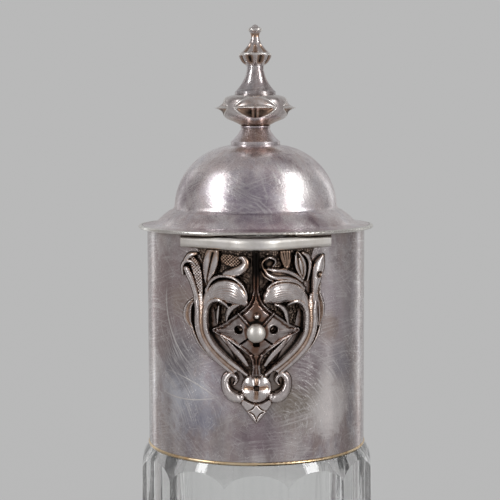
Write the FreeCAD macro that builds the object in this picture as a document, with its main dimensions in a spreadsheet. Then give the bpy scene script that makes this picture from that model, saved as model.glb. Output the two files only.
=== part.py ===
import FreeCAD, Part
import math
import operator
import os
import Sketcher

# A silver-mounted glass ewer.
# Origin: centre of the standing face. +Z up, spout towards -Y, handle towards +Y.

# Driving dimensions, in millimetres and degrees

SIZES = [
    ("film", 0.1, "clear space left for solder or cement between curved faces"),
    ("glass_height", 168.0, "standing face to the lower edge of the collar"),
    ("base_radius", 47.0, "axis to an arris of the glass at its base"),
    ("shoulder_radius", 33.6, "axis to an arris of the glass under the collar"),
    ("flute_count", 12, "flat flutes round the glass"),
    ("base_round", 3.0, "rounding of the standing edge"),
    ("shoulder_drop", 6.0, "height of the rounded glass shoulder"),
    ("shoulder_round", 12.0, "radius of the glass shoulder"),
    ("floor_thickness", 16.0, "solid glass under the inside"),
    ("inner_base_radius", 36.5, "inside of the glass at its floor"),
    ("inner_round", 9.0, "rounding between floor and wall inside"),
    ("bore_radius", 25.8, "inside of the glass neck"),
    ("neck_radius", 29.2, "outside of the glass neck"),
    ("neck_length", 34.0, "glass neck standing inside the collar"),
    ("star_reach", 36.0, "axis to the outer end of a cut of the base star"),
    ("star_half_width", 2.6, "half the width of a star cut at the standing face"),
    ("star_depth", 1.6, "depth of a star cut"),
    ("star_eye_radius", 8.0, "hollow in the middle of the star"),
    ("star_eye_depth", 2.6, "depth of that hollow"),
    ("collar_radius", 31.0, "outside of the silver collar"),
    ("collar_wall", 1.0, "sheet of the collar"),
    ("collar_height", 62.0, "lower edge of the collar to the lid"),
    ("foot_wire", 1.0, "height of the gilt wire under the collar"),
    ("foot_wire_proud", 0.25, "how far that wire stands out"),
    ("mouth_radius", 28.3, "clear mouth inside the mouth ring"),
    ("mouth_ring_height", 2.5, "height of the mouth ring"),
    ("notch_half_width", 11.0, "half the opening from collar to spout"),
    ("notch_rise", 2.0, "foot of that opening above the bottom of the trough"),
    ("lip_gap", 0.4, "clear space between lid and lip"),
    ("lip_height", 3.2, "height of the lip bar"),
    ("lip_depth", 2.6, "thickness of the lip bar from front to back"),
    ("lip_overhang", 1.2, "lip bar standing out past the spout below it"),
    ("lip_half_width", 20.3, "middle of the lip bar to one of its ends"),
    ("lip_round", 1.1, "rounding along the lip bar"),
    ("spout_wall", 1.2, "sheet of the spout"),
    ("spout_reach", 6.6, "spout in front of the collar, under the lip"),
    ("spout_nose", 8.8, "radius of the spout's nose under the lip"),
    ("spout_flank", 49.0, "angle of the flanks under the lip, from straight ahead"),
    ("spout_root", 20.0, "axis forward to where the spout is closed inside the collar"),
    ("belly_reach", 4.5, "spout in front of the collar at its belly"),
    ("belly_nose", 8.0, "radius of the nose at the belly"),
    ("belly_flank", 50.0, "angle of the flanks at the belly"),
    ("tip_nose", 3.0, "radius of the nose at the foot"),
    ("trough_rise", 2.7, "bottom of the trough above the belly"),
    ("ornament_half_width", 19.5, "half the spread of the cast ornament"),
    ("ornament_top", 4.2, "lid down to the top of the ornament"),
    ("ornament_height", 45.6, "height of the cast ornament"),
    ("stem_relief", 3.6, "relief of the stems and hood leaves"),
    ("spray_relief", 2.2, "relief of the outer leaves"),
    ("plate_relief", 1.4, "thickness of the pierced plate"),
    ("plate_hole", 1.0, "radius of the holes in the pierced plate"),
    ("volute_relief", 2.6, "relief of the volutes"),
    ("drop_relief", 1.8, "relief of the drop"),
    ("pearl_radius", 2.45, "ball on the pierced plate"),
    ("pearl_pin", 0.8, "radius of the pin behind that ball"),
    ("rosette_radius", 4.2, "ball that the rosette is a cap of"),
    ("rosette_sink", 1.2, "centre of that ball behind the collar face"),
    ("handle_reach", 44.0, "boss face to the outermost line of the handle"),
    ("handle_drop", 18.0, "lid down to the upper handle boss"),
    ("handle_rise", 9.0, "collar's foot up to the lower handle boss"),
    ("handle_neck_bend", 8.0, "bend where the handle leaves the upper boss"),
    ("handle_foot_bend", 14.0, "bend where the handle meets the lower boss"),
    ("handle_half_width", 2.4, "corner of the handle section, sideways"),
    ("handle_half_depth", 3.2, "corner of the handle section, in its plane"),
    ("handle_swell", 4.6, "radius of the swelling sides of the handle section"),
    ("boss_radius", 7.4, "handle boss where it meets the collar"),
    ("boss_face_radius", 6.0, "handle boss at its face"),
    ("boss_height", 3.0, "handle boss standing out from the collar"),
    ("knuckle_radius", 2.3, "hinge barrel"),
    ("knuckle_length", 6.0, "one of the three knuckles"),
    ("knuckle_gap", 0.15, "clear space between neighbouring knuckles"),
    ("hinge_gap", 0.6, "clear space between barrel and lid edge"),
    ("hinge_rise", 0.6, "hinge axis above the collar's upper edge"),
    ("bracket_height", 5.0, "hinge bracket on the collar"),
    ("pin_radius", 1.0, "hinge pin"),
    ("pin_play", 0.06, "clear space round the pin in the lid's knuckle"),
    ("strap_reach", 6.0, "hinge strap lying on the brim"),
    ("strap_height", 3.2, "top of the hinge strap above the collar"),
    ("thumb_height", 15.0, "thumbpiece above the strap"),
    ("thumb_thickness", 3.2, "thumbpiece from front to back"),
    ("thumb_lean", 3.0, "top of the thumbpiece behind its foot"),
    ("thumb_half_width", 5.5, "half the width of the thumbpiece"),
    ("lid_radius", 33.5, "edge of the lid"),
    ("rim_wire", 1.0, "height of the wire round the lid's edge"),
    ("brim_rise", 1.5, "brim above the lid's edge at its turn"),
    ("brim_radius", 28.6, "turn of the brim"),
    ("step_radius", 24.6, "edge between the brim and the hollow at the dome's foot"),
    ("step_rise", 5.0, "height of that edge"),
    ("step_round", 1.9, "radius of that hollow"),
    ("dome_radius", 23.1, "foot of the dome"),
    ("dome_rise", 6.9, "height of the dome's foot"),
    ("dome_height", 16.6, "foot of the dome to the foot of the finial"),
    ("dome_bend", 18.0, "radius of the dome's shoulder"),
    ("lid_wall", 1.0, "sheet of the dome"),
    ("bezel_radius", 28.0, "bezel of the lid inside the mouth"),
    ("bezel_wall", 1.0, "sheet of the bezel"),
    ("bezel_depth", 4.0, "bezel below the lid"),
    ("rod_radius", 0.8, "rod through the finial"),
    ("rod_tail", 0.8, "rod below its nut"),
    ("nut_radius", 2.6, "nut across its corners, halved"),
    ("nut_height", 1.8, "nut inside the lid"),
    ("washer_radius", 3.4, "washer inside the lid"),
    ("washer_height", 0.6, "washer inside the lid"),
    ("foot_radius", 7.0, "foot of the finial"),
    ("foot_height", 5.5, "foot of the finial"),
    ("foot_bead", 0.7, "bead round the top of that foot"),
    ("waist_radius", 3.95, "waist between foot and knop"),
    ("knop_radius", 9.2, "large knop above and below its swelling side"),
    ("knop_bulge", 6.2, "radius of that swelling side"),
    ("knop_height", 8.7, "large knop"),
    ("knop_top_radius", 5.9, "upper face of the large knop"),
    ("point_reach", 11.7, "axis to the tip of a point on the knop"),
    ("point_half_width", 6.8, "half the width of a point on the knop"),
    ("point_half_height", 2.8, "half the height of a point on the knop"),
    ("spool_radius", 5.8, "lower end of the spool"),
    ("spool_neck", 2.4, "upper end of the spool"),
    ("spool_height", 8.1, "spool"),
    ("bud_height", 7.1, "small lobed knop"),
    ("bud_radius", 4.6, "widest part of the small knop"),
    ("bud_ridge", 2.9, "height of that widest part"),
    ("bud_bend", 4.2, "swelling of its lower half"),
    ("bud_hollow", 8.0, "hollow of its upper half"),
    ("bud_lobes", 8, "lobes round the small knop"),
    ("bud_flute", 1.1, "radius of the hollows between the lobes"),
    ("bud_flute_centre", 5.2, "axis to the middle of a hollow"),
    ("button_neck", 1.4, "neck under the button"),
    ("button_neck_height", 1.3, "neck under the button"),
    ("button_flare", 1.2, "height of the taper from neck to button"),
    ("button_radius", 2.0, "button at the top"),
]

LEFT = 1
RIGHT = -1

# Sketcher's numbers for the points of a line, arc or circle
POINT = {name: number for number, name in enumerate(("start", "end", "centre"), start=1)}

doc = FreeCAD.newDocument("ewer")
sheet = doc.addObject("Spreadsheet::Sheet", "sizes")
for row, (alias, number, meaning) in enumerate(SIZES, start=1):
    sheet.set(f"A{row}", str(number))
    sheet.setAlias(f"A{row}", alias)
    sheet.set(f"B{row}", meaning)
doc.recompute()


# Sizes that carry their sheet formula

class Size:
    """A number together with the sheet formula that it comes from."""

    def __init__(self, value, formula):
        self.value = float(value)
        self.formula = formula

    def joined(self, sign, other, result):
        other = as_size(other)
        return Size(result(self.value, other.value), f"({self.formula} {sign} {other.formula})")

    def __add__(self, other):
        return self.joined("+", other, operator.add)

    def __sub__(self, other):
        return self.joined("-", other, operator.sub)

    def __mul__(self, other):
        return self.joined("*", other, operator.mul)

    def __truediv__(self, other):
        return self.joined("/", other, operator.truediv)

    def __neg__(self):
        return Size(-self.value, f"(0 - {self.formula})")


def as_size(number):
    return number if isinstance(number, Size) else Size(number, repr(float(number)))


def sine(angle):
    return Size(math.sin(math.radians(angle.value)), f"sin({angle.formula})")


def cosine(angle):
    return Size(math.cos(math.radians(angle.value)), f"cos({angle.formula})")


class Sheet:
    """The driving dimensions by name."""


size = Sheet()
for alias, number, meaning in SIZES:
    setattr(size, alias, Size(number, f"sizes.{alias}"))

ZERO = as_size(0)


def down(share):
    """A level on the spout, as a share of the way down its ornament."""
    return mouth_level - size.ornament_top - size.ornament_height * share


# Levels and radii that several pieces share
foot_level = size.glass_height
mouth_level = size.glass_height + size.collar_height
neck_top = foot_level + size.neck_length
collar_bore = size.collar_radius - size.collar_wall
belly_level = down(0.45)
trough_level = belly_level + size.trough_rise
lip_top = mouth_level - size.lip_gap
lip_foot = lip_top - size.lip_height
upper_boss_level = mouth_level - size.handle_drop
lower_boss_level = foot_level + size.handle_rise
hinge_back = size.lid_radius + size.hinge_gap + size.knuckle_radius
hinge_level = mouth_level + size.hinge_rise
rod_bore = size.rod_radius + size.film
brim_edge = size.lid_radius - size.rim_wire - size.film
dome_top = mouth_level + size.dome_rise + size.dome_height
knop_foot = dome_top + size.foot_height
spool_foot = knop_foot + size.knop_height
bud_foot = spool_foot + size.spool_height
button_foot = bud_foot + size.bud_height


# Drawing

def origin_feature(body, role):
    return next(feature for feature in body.Origin.OriginFeatures if feature.Role == role)


def new_body(name):
    return doc.addObject("PartDesign::Body", name)


def new_sketch(body, name, role, offset=None):
    """An empty sketch on one of the body's planes, moved along its normal by the offset."""
    sketch = body.newObject("Sketcher::SketchObject", name)
    sketch.AttachmentSupport = (origin_feature(body, role), [""])
    sketch.MapMode = "FlatFace"
    if offset is not None:
        sketch.setExpression("AttachmentOffset.Base.z", offset.formula)
    return sketch


def arc_between(start, end, radius, turn):
    """The short arc from start to end that turns left or right on its way."""
    chord = end - start
    half = chord.Length / 2
    side = FreeCAD.Vector(-chord.y, chord.x, 0).normalize() * turn
    centre = (start + end) * 0.5 + side * math.sqrt(max(radius * radius - half * half, 0))
    first, last = (start, end) if turn == LEFT else (end, start)
    angles = [math.atan2(point.y - centre.y, point.x - centre.x) for point in (first, last)]
    circle = Part.Circle(centre, FreeCAD.Vector(0, 0, 1), radius)
    return Part.ArcOfCircle(circle, angles[0], angles[1])


def place(sketch, element, end, corner):
    """Bind one end of an element to a corner of the outline."""
    for kind, distance in zip(("DistanceX", "DistanceY"), corner):
        constraint = Sketcher.Constraint(kind, -1, 1, element, end, distance.value)
        number = sketch.addConstraint(constraint)
        sketch.setExpression(f"Constraints[{number}]", distance.formula)


def draw(sketch, corners, closed=True):
    """Draw through corners: (across, up) ends a line, (across, up, radius, turn) ends an arc."""
    corners = [tuple(as_size(value) for value in corner[:3]) + tuple(corner[3:]) for corner in corners]
    points = [FreeCAD.Vector(corner[0].value, corner[1].value, 0) for corner in corners]
    previous_end = None
    first_start = None
    for index in range(0 if closed else 1, len(corners)):
        start = points[index - 1]
        corner = corners[index]
        start_end, far_end = POINT["start"], POINT["end"]
        if len(corner) == 4:
            element = sketch.addGeometry(arc_between(start, points[index], corner[2].value, corner[3]), False)
            number = sketch.addConstraint(Sketcher.Constraint("Radius", element, corner[2].value))
            sketch.setExpression(f"Constraints[{number}]", corner[2].formula)
            if corner[3] == RIGHT:
                start_end, far_end = far_end, start_end
        else:
            element = sketch.addGeometry(Part.LineSegment(start, points[index]), False)
        place(sketch, element, far_end, corner[:2])
        if previous_end is None:
            first_start = (element, start_end)
        else:
            sketch.addConstraint(Sketcher.Constraint("Coincident", *previous_end, element, start_end))
        previous_end = (element, far_end)
    if closed:
        sketch.addConstraint(Sketcher.Constraint("Coincident", *previous_end, *first_start))
    else:
        place(sketch, *first_start, corners[0][:2])


def draw_circle(sketch, across, up, radius):
    circle = Part.Circle(FreeCAD.Vector(across.value, up.value, 0), FreeCAD.Vector(0, 0, 1), radius.value)
    element = sketch.addGeometry(circle, False)
    place(sketch, element, POINT["centre"], (across, up))
    number = sketch.addConstraint(Sketcher.Constraint("Radius", element, radius.value))
    sketch.setExpression(f"Constraints[{number}]", radius.formula)


def turned(name, corners):
    """A body turned about the upright axis from half its section."""
    body = new_body(name)
    sketch = new_sketch(body, name + "_section", "XZ_Plane")
    draw(sketch, corners)
    turn = body.newObject("PartDesign::Revolution", name + "_turn")
    turn.Profile = sketch
    turn.ReferenceAxis = (sketch, ["V_Axis"])
    turn.Angle = 360
    return body


def padded(name, role, corners, length, midplane=False):
    """A body padded from an outline on one of its planes."""
    body = new_body(name)
    sketch = new_sketch(body, name + "_outline", role)
    draw(sketch, corners)
    pad = body.newObject("PartDesign::Pad", name + "_pad")
    pad.Profile = sketch
    pad.setExpression("Length", length.formula)
    pad.Midplane = midplane
    return body


def ring(name, inner, outer, low, high):
    return turned(name, [(inner, low), (outer, low), (outer, high), (inner, high)])


def half_round_wire(name, inner, outer, low, height):
    """A ring with a rounded outer edge."""
    bend = height / 2
    return turned(name, [
        (inner, low),
        (outer - bend, low),
        (outer, low + bend, bend, LEFT),
        (outer - bend, low + height, bend, LEFT),
        (inner, low + height),
    ])


def box(name, low, high):
    """A block between two opposite corners."""
    block = doc.addObject("Part::Box", name)
    for axis, edge, start, end in zip("xyz", ("Length", "Width", "Height"), low, high):
        start = as_size(start)
        block.setExpression(f"Placement.Base.{axis}", start.formula)
        block.setExpression(edge, (as_size(end) - start).formula)
    return block


def bar(name, radius, start, end, direction):
    """A round bar along X, Y or Z between two points that differ only along that direction."""
    turns = {
        "x": FreeCAD.Rotation(FreeCAD.Vector(0, 1, 0), 90),
        "y": FreeCAD.Rotation(FreeCAD.Vector(1, 0, 0), -90),
        "z": FreeCAD.Rotation(),
    }
    rod = doc.addObject("Part::Cylinder", name)
    rod.Placement = FreeCAD.Placement(FreeCAD.Vector(), turns[direction])
    rod.setExpression("Radius", radius.formula)
    along = "xyz".index(direction)
    rod.setExpression("Height", (as_size(end[along]) - as_size(start[along])).formula)
    for axis, coordinate in zip("xyz", start):
        rod.setExpression(f"Placement.Base.{axis}", as_size(coordinate).formula)
    return rod


def joined(name, *shapes):
    fusion = doc.addObject("Part::MultiFuse", name)
    fusion.Shapes = list(shapes)
    return fusion


def shared(name, base, tool):
    common = doc.addObject("Part::Common", name)
    common.Base = base
    common.Tool = tool
    return common


def cut(name, base, tool):
    remainder = doc.addObject("Part::Cut", name)
    remainder.Base = base
    remainder.Tool = tool
    return remainder


def mirrored(name, source):
    """The same piece on the other side of the plane that halves the ewer."""
    image = doc.addObject("Part::Mirroring", name)
    image.Source = source
    image.Base = FreeCAD.Vector(0, 0, 0)
    image.Normal = FreeCAD.Vector(1, 0, 0)
    return image


# Glass

def flute_ring(name, level, radius):
    """The outline of the fluted glass at one level, with a flute facing the spout."""
    polygon = doc.addObject("Part::RegularPolygon", name)
    polygon.Placement = FreeCAD.Placement(FreeCAD.Vector(), FreeCAD.Rotation(FreeCAD.Vector(0, 0, 1), 15))
    polygon.setExpression("Polygon", size.flute_count.formula)
    polygon.setExpression("Circumradius", radius.formula)
    polygon.setExpression("Placement.Base.z", level.formula)
    polygon.setExpression("Placement.Rotation.Angle", (as_size(180) / size.flute_count).formula)
    return polygon


def fluted_outside():
    """Flat flutes that leave the collar upright and flare towards the base."""
    flare = size.base_radius - size.shoulder_radius
    loft = doc.addObject("Part::Loft", "fluted_outside")
    loft.Sections = [
        flute_ring("flutes_low", ZERO, size.base_radius),
        flute_ring("flutes_middle", foot_level / 2, size.shoulder_radius + flare / 4),
        flute_ring("flutes_high", foot_level, size.shoulder_radius),
    ]
    loft.Solid = True
    return loft


def glass_turning():
    """The turned blank that rounds off the standing edge and the shoulder."""
    return turned("glass_turning", [
        (0, 0),
        (size.base_radius - size.base_round, 0),
        (size.base_radius, size.base_round, size.base_round, LEFT),
        (size.shoulder_radius, foot_level - size.shoulder_drop),
        (size.collar_radius, foot_level, size.shoulder_round, LEFT),
        (0, foot_level),
    ])


def glass_inside():
    """The hollow that holds the wine, from the thick floor up through the neck."""
    wall_foot = size.floor_thickness + size.inner_round
    flare = size.inner_base_radius - size.bore_radius
    rise = foot_level - wall_foot
    flare_bend = (rise * rise + flare * flare) / (flare * 2)
    above_neck = neck_top + 1
    return turned("glass_inside", [
        (0, size.floor_thickness),
        (size.inner_base_radius - size.inner_round, size.floor_thickness),
        (size.inner_base_radius, wall_foot, size.inner_round, LEFT),
        (size.bore_radius, foot_level, flare_bend, RIGHT),
        (size.bore_radius, above_neck),
        (0, above_neck),
    ])


def base_star():
    """Twelve cuts that run out from a hollow in the middle of the base."""
    margin = 1
    half_width = size.star_half_width * (size.star_depth + margin) / size.star_depth
    body = new_body("star_cuts")
    start = size.star_eye_radius / 2
    sketch = new_sketch(body, "star_cut_section", "XZ_Plane", start)
    draw(sketch, [(-half_width, -margin), (half_width, -margin), (0, size.star_depth)])
    pad = body.newObject("PartDesign::Pad", "star_cut")
    pad.Profile = sketch
    pad.setExpression("Length", (size.star_reach - start).formula)
    eye_bend = (size.star_eye_radius * size.star_eye_radius + size.star_eye_depth * size.star_eye_depth)
    eye_bend = eye_bend / (size.star_eye_depth * 2)
    eye = body.newObject("PartDesign::Revolution", "star_eye")
    eye_sketch = new_sketch(body, "star_eye_section", "XZ_Plane")
    draw(eye_sketch, [
        (0, -margin),
        (size.star_eye_radius, -margin),
        (size.star_eye_radius, 0),
        (0, size.star_eye_depth, eye_bend, LEFT),
    ])
    eye.Profile = eye_sketch
    eye.ReferenceAxis = (eye_sketch, ["V_Axis"])
    eye.Angle = 360
    pattern = body.newObject("PartDesign::PolarPattern", "star_pattern")
    pattern.Originals = [pad]
    pattern.Axis = (eye_sketch, ["V_Axis"])
    pattern.setExpression("Occurrences", size.flute_count.formula)
    body.Tip = pattern
    return body


def glass_body():
    outside = shared("glass_outside", fluted_outside(), glass_turning())
    neck = bar("glass_neck", size.neck_radius, (0, 0, foot_level - 1), (0, 0, neck_top), "z")
    solid = joined("glass_solid", outside, neck)
    hollow = cut("glass_hollow", solid, glass_inside())
    return cut("glass_body", hollow, base_star())


# Collar

def spout_notch(name):
    """The opening through which the collar pours into the spout."""
    return box(
        name,
        (-size.notch_half_width, -size.collar_radius * 2, trough_level + size.notch_rise),
        (size.notch_half_width, 0, mouth_level + 1),
    )


def neck_cement():
    return ring("neck_cement", size.neck_radius + size.film, collar_bore - size.film, foot_level, neck_top)


def collar():
    tube = ring("collar_tube", collar_bore, size.collar_radius, foot_level + size.foot_wire, mouth_level)
    return cut("collar", tube, spout_notch("collar_notch"))


def collar_foot_wire():
    """The half-round gilt wire that closes the collar against the glass."""
    outer = size.collar_radius + size.foot_wire_proud
    return half_round_wire("collar_foot_wire", collar_bore, outer, foot_level, size.foot_wire)


def mouth_ring():
    outer = collar_bore - size.film
    foot = mouth_level - size.mouth_ring_height
    whole = ring("mouth_ring_whole", size.mouth_radius, outer, foot, mouth_level)
    return cut("mouth_ring", whole, spout_notch("mouth_ring_notch"))


# Spout

def nose_corners(reach, nose, flank):
    """The plan of the spout: from its root on the left round the nose to its root on the right."""
    centre = nose - size.collar_radius - reach
    touch_across = nose * cosine(flank)
    touch_ahead = centre - nose * sine(flank)
    root_ahead = -size.spout_root
    root_across = touch_across + (root_ahead - touch_ahead) * sine(flank) / cosine(flank)
    return [
        (-root_across, root_ahead),
        (-touch_across, touch_ahead),
        (touch_across, touch_ahead, nose, LEFT),
        (root_across, root_ahead),
    ]


def spout_form(name, sections):
    """A solid lofted through plans of the spout, closed inside the collar."""
    body = new_body(name)
    sketches = []
    for index, (level, plan) in enumerate(sections):
        sketch = new_sketch(body, f"{name}_plan{index}", "XY_Plane", level)
        draw(sketch, plan)
        sketches.append(sketch)
    loft = body.newObject("PartDesign::AdditiveLoft", name + "_loft")
    loft.Profile = sketches[0]
    loft.Sections = sketches[1:]
    loft.Ruled = True
    return body


def outer_sections(swell):
    """The spout's outside, or a form that lies outside it by the swell."""
    return [
        (lip_foot, nose_corners(size.spout_reach + swell, size.spout_nose + swell, size.spout_flank)),
        (belly_level, nose_corners(size.belly_reach + swell, size.belly_nose + swell, size.belly_flank)),
        (down(0.873), nose_corners(swell, size.tip_nose + swell, size.belly_flank)),
    ]


def seat(name, swell):
    """Collar and spout together, swelled: what the ornament stands on, or the limit of its relief."""
    form = spout_form(name + "_spout", outer_sections(swell))
    core = bar(name + "_core", size.collar_radius + swell, (0, 0, foot_level), (0, 0, lip_foot), "z")
    return joined(name, form, core)


def spout_shell():
    inside = -size.spout_wall
    trough = spout_form("spout_trough", [
        (lip_foot, nose_corners(size.spout_reach + inside, size.spout_nose + inside, size.spout_flank)),
        (trough_level, nose_corners(ZERO, size.tip_nose, size.spout_flank)),
    ])
    solid = spout_form("spout_solid", outer_sections(ZERO))
    hollow = cut("spout_hollow", solid, trough)
    core = bar("spout_core", size.collar_radius + size.film, (0, 0, foot_level), (0, 0, mouth_level), "z")
    return cut("spout_shell", hollow, core)


def spout_lip():
    """The rounded bar along the edge of the spout."""
    outer_nose = size.spout_nose + size.lip_overhang
    outer_reach = size.spout_reach + size.lip_overhang
    inner_nose = outer_nose - size.lip_depth
    outer = nose_corners(outer_reach, outer_nose, size.spout_flank)
    left_root, left_touch, right_touch, right_root = nose_corners(
        outer_reach - size.lip_depth, inner_nose, size.spout_flank)
    way_back = [right_root, right_touch[:2], left_touch + (inner_nose, RIGHT), left_root]
    body = new_body("lip_bar")
    sketch = new_sketch(body, "lip_plan", "XY_Plane", lip_foot)
    draw(sketch, outer + way_back)
    pad = body.newObject("PartDesign::Pad", "lip_pad")
    pad.Profile = sketch
    pad.setExpression("Length", size.lip_height.formula)
    doc.recompute()
    names = []
    for number, edge in enumerate(pad.Shape.Edges, start=1):
        level_edge = edge.BoundBox.ZLength < 1e-6
        in_front = edge.BoundBox.YMin < -size.collar_radius.value
        if level_edge and in_front:
            names.append(f"Edge{number}")
    rounding = body.newObject("PartDesign::Fillet", "lip_rounding")
    rounding.Base = (pad, names)
    rounding.setExpression("Radius", size.lip_round.formula)
    core = bar("lip_core", size.collar_radius + size.film, (0, 0, foot_level), (0, 0, mouth_level), "z")
    room = box(
        "lip_room",
        (-size.lip_half_width, -size.collar_radius * 2, foot_level),
        (size.lip_half_width, 0, mouth_level),
    )
    return cut("spout_lip", shared("lip_trimmed", body, room), core)


# Cast ornament on the spout

def across(share):
    return size.ornament_half_width * share


def ornament_corners(corners):
    """Corners given as shares of the ornament's half width and height, radii as shares of its half width."""
    placed = []
    for corner in corners:
        point = (across(corner[0]), down(corner[1]))
        placed.append(point + (across(corner[2]), corner[3]) if len(corner) == 4 else point)
    return placed


def relief(name, corners, swell, ground):
    """A cast piece: its outline, as deep as its relief, standing on collar and spout."""
    through = size.collar_radius * 2
    block = padded(name + "_block", "XZ_Plane", ornament_corners(corners), through)
    whole = shared(name + "_whole", block, seat(name + "_limit", swell))
    return cut(name, whole, ground)


def spout_scroll(ground):
    """Stem and hood leaf in high relief, with the spray of outer leaves lower beside them."""
    stem = relief("scroll_stem", [
        (-0.17, 0.675),
        (-0.64, 0.330, 1.30, RIGHT),
        (-0.50, 0.250),
        (-0.26, 0.285, 0.22, RIGHT),
        (-0.13, 0.190, 0.25, LEFT),
        (-0.48, 0.125, 0.30, LEFT),
        (-0.80, 0.250, 0.45, LEFT),
        (-0.83, 0.400, 1.20, LEFT),
        (-0.40, 0.680, 1.10, LEFT),
    ], size.stem_relief, ground)
    spray = relief("scroll_spray", [
        (-0.62, 0.200),
        (-0.42, 0.105),
        (-0.14, 0.110, 0.30, RIGHT),
        (-0.42, 0.030, 0.22, LEFT),
        (-0.52, 0.100, 0.20, RIGHT),
        (-0.72, 0.004, 0.60, LEFT),
        (-0.77, 0.080, 0.40, RIGHT),
        (-0.96, 0.030, 0.30, RIGHT),
        (-0.97, 0.170, 0.30, LEFT),
        (-0.84, 0.285, 0.40, LEFT),
        (-0.96, 0.380, 0.30, RIGHT),
        (-0.80, 0.440, 0.25, LEFT),
    ], size.spray_relief, ground)
    return joined("spout_scroll_left", stem, spray)


def spout_cross_plate(ground):
    """The pierced plate between the stems, a cross with hollow sides."""
    hollow = 0.75
    cross = relief("cross_solid", [
        (-0.55, 0.447, hollow, RIGHT),
        (0, 0.680, hollow, RIGHT),
        (0.55, 0.447, hollow, RIGHT),
        (0, 0.140, hollow, RIGHT),
    ], size.plate_relief, ground)
    front = -size.collar_radius * 2
    holes = [bar("pin_hole", size.pearl_pin + size.film, (0, front, belly_level), (0, 0, belly_level), "y")]
    for number, (side, fall) in enumerate([(0, 0.343), (0, 0.557), (-0.25, 0.45), (0.25, 0.45)]):
        start, end = (across(side), front, down(fall)), (across(side), 0, down(fall))
        holes.append(bar(f"plate_hole{number}", size.plate_hole, start, end, "y"))
    return cut("spout_cross_plate", cross, joined("plate_holes", *holes))


def spout_pearl(ground):
    """The ball in front of the pierced plate, on a pin that reaches the spout."""
    ahead = -(size.collar_radius + size.belly_reach + size.plate_relief + size.pearl_radius + size.film)
    ball = doc.addObject("Part::Sphere", "pearl_ball")
    ball.setExpression("Radius", size.pearl_radius.formula)
    ball.setExpression("Placement.Base.y", ahead.formula)
    ball.setExpression("Placement.Base.z", belly_level.formula)
    pin = bar("pearl_pin", size.pearl_pin, (0, ahead, belly_level), (0, 0, belly_level), "y")
    return cut("spout_pearl", joined("pearl_on_pin", ball, pin), ground)


def spout_rosette(ground):
    ball = doc.addObject("Part::Sphere", "rosette_ball")
    ball.setExpression("Radius", size.rosette_radius.formula)
    ball.setExpression("Placement.Base.y", (size.rosette_sink - size.collar_radius).formula)
    ball.setExpression("Placement.Base.z", down(0.795).formula)
    return cut("spout_rosette", ball, ground)


def spout_volute(ground):
    """One of the two scrolls that clasp the rosette."""
    return relief("spout_volute_left", [
        (-0.140, 0.715),
        (-0.456, 0.796, 0.26, LEFT),
        (-0.245, 0.890, 0.25, LEFT),
        (-0.265, 0.840, 0.12, RIGHT),
        (-0.235, 0.745, 0.20, RIGHT),
    ], size.volute_relief, ground)


def spout_drop(ground):
    return relief("spout_drop", [
        (-0.205, 0.905),
        (0, 1.0, 0.60, LEFT),
        (0.205, 0.905, 0.60, LEFT),
        (0, 0.895),
    ], size.drop_relief, ground)


# Handle

def handle_boss(name, level):
    """A tapering boss on the back of the collar."""
    sink = size.collar_wall * 3
    face = size.collar_radius + size.boss_height
    boss = doc.addObject("Part::Cone", name + "_cone")
    boss.Placement = FreeCAD.Placement(FreeCAD.Vector(), FreeCAD.Rotation(FreeCAD.Vector(1, 0, 0), -90))
    boss.setExpression("Radius1", size.boss_radius.formula)
    boss.setExpression("Radius2", size.boss_face_radius.formula)
    boss.setExpression("Height", (size.boss_height + sink).formula)
    boss.setExpression("Placement.Base.y", (face - size.boss_height - sink).formula)
    boss.setExpression("Placement.Base.z", level.formula)
    core = bar(name + "_core", size.collar_radius + size.film, (0, 0, foot_level), (0, 0, mouth_level), "z")
    return cut(name, boss, core)


def arc_step(start_heading, end_heading):
    """How far an arc of radius 1 goes, outwards and up, while its heading turns from start to end."""
    start, end = math.radians(start_heading), math.radians(end_heading)
    turn = LEFT if end_heading > start_heading else RIGHT
    return turn * (math.sin(end) - math.sin(start)), turn * (math.cos(start) - math.cos(end)), turn


def handle():
    """A scroll in the plane of symmetry: five arcs that leave and meet the bosses squarely."""
    rise, outermost, return_heading, hook = 35, -90, -130, -240
    neck = arc_step(0, rise)
    crown = arc_step(rise, outermost)
    back = arc_step(outermost, return_heading)
    sweep = arc_step(return_heading, hook)
    foot = arc_step(hook, -180)
    crown_bend = (size.handle_reach - size.handle_neck_bend * neck[0]) / crown[0]
    # The two bends left over close the path on the lower boss.
    out_left = -size.handle_reach - size.handle_foot_bend * foot[0]
    up_left = (lower_boss_level - upper_boss_level - size.handle_neck_bend * neck[1]
               - crown_bend * crown[1] - size.handle_foot_bend * foot[1])
    spread = back[0] * sweep[1] - sweep[0] * back[1]
    back_bend = (out_left * sweep[1] - up_left * sweep[0]) / spread
    sweep_bend = (up_left * back[0] - out_left * back[1]) / spread
    start = (size.collar_radius + size.boss_height, upper_boss_level)
    corners = [start]
    bends = [size.handle_neck_bend, crown_bend, back_bend, sweep_bend, size.handle_foot_bend]
    for bend, (out, up, turn) in zip(bends, (neck, crown, back, sweep, foot)):
        last = corners[-1]
        corners.append((last[0] + bend * out, last[1] + bend * up, bend, turn))
    body = new_body("handle")
    path = new_sketch(body, "handle_path", "YZ_Plane")
    draw(path, corners, closed=False)
    section = new_sketch(body, "handle_section", "XZ_Plane", -start[0])
    side, depth = size.handle_half_width, size.handle_half_depth
    draw(section, [
        (side, start[1] + depth, size.handle_swell, LEFT),
        (-side, start[1] + depth, depth, LEFT),
        (-side, start[1] - depth, size.handle_swell, LEFT),
        (side, start[1] - depth, depth, LEFT),
    ])
    pipe = body.newObject("PartDesign::AdditivePipe", "handle_pipe")
    pipe.Profile = section
    pipe.Spine = (path, [])
    return body


# Hinge

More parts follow.
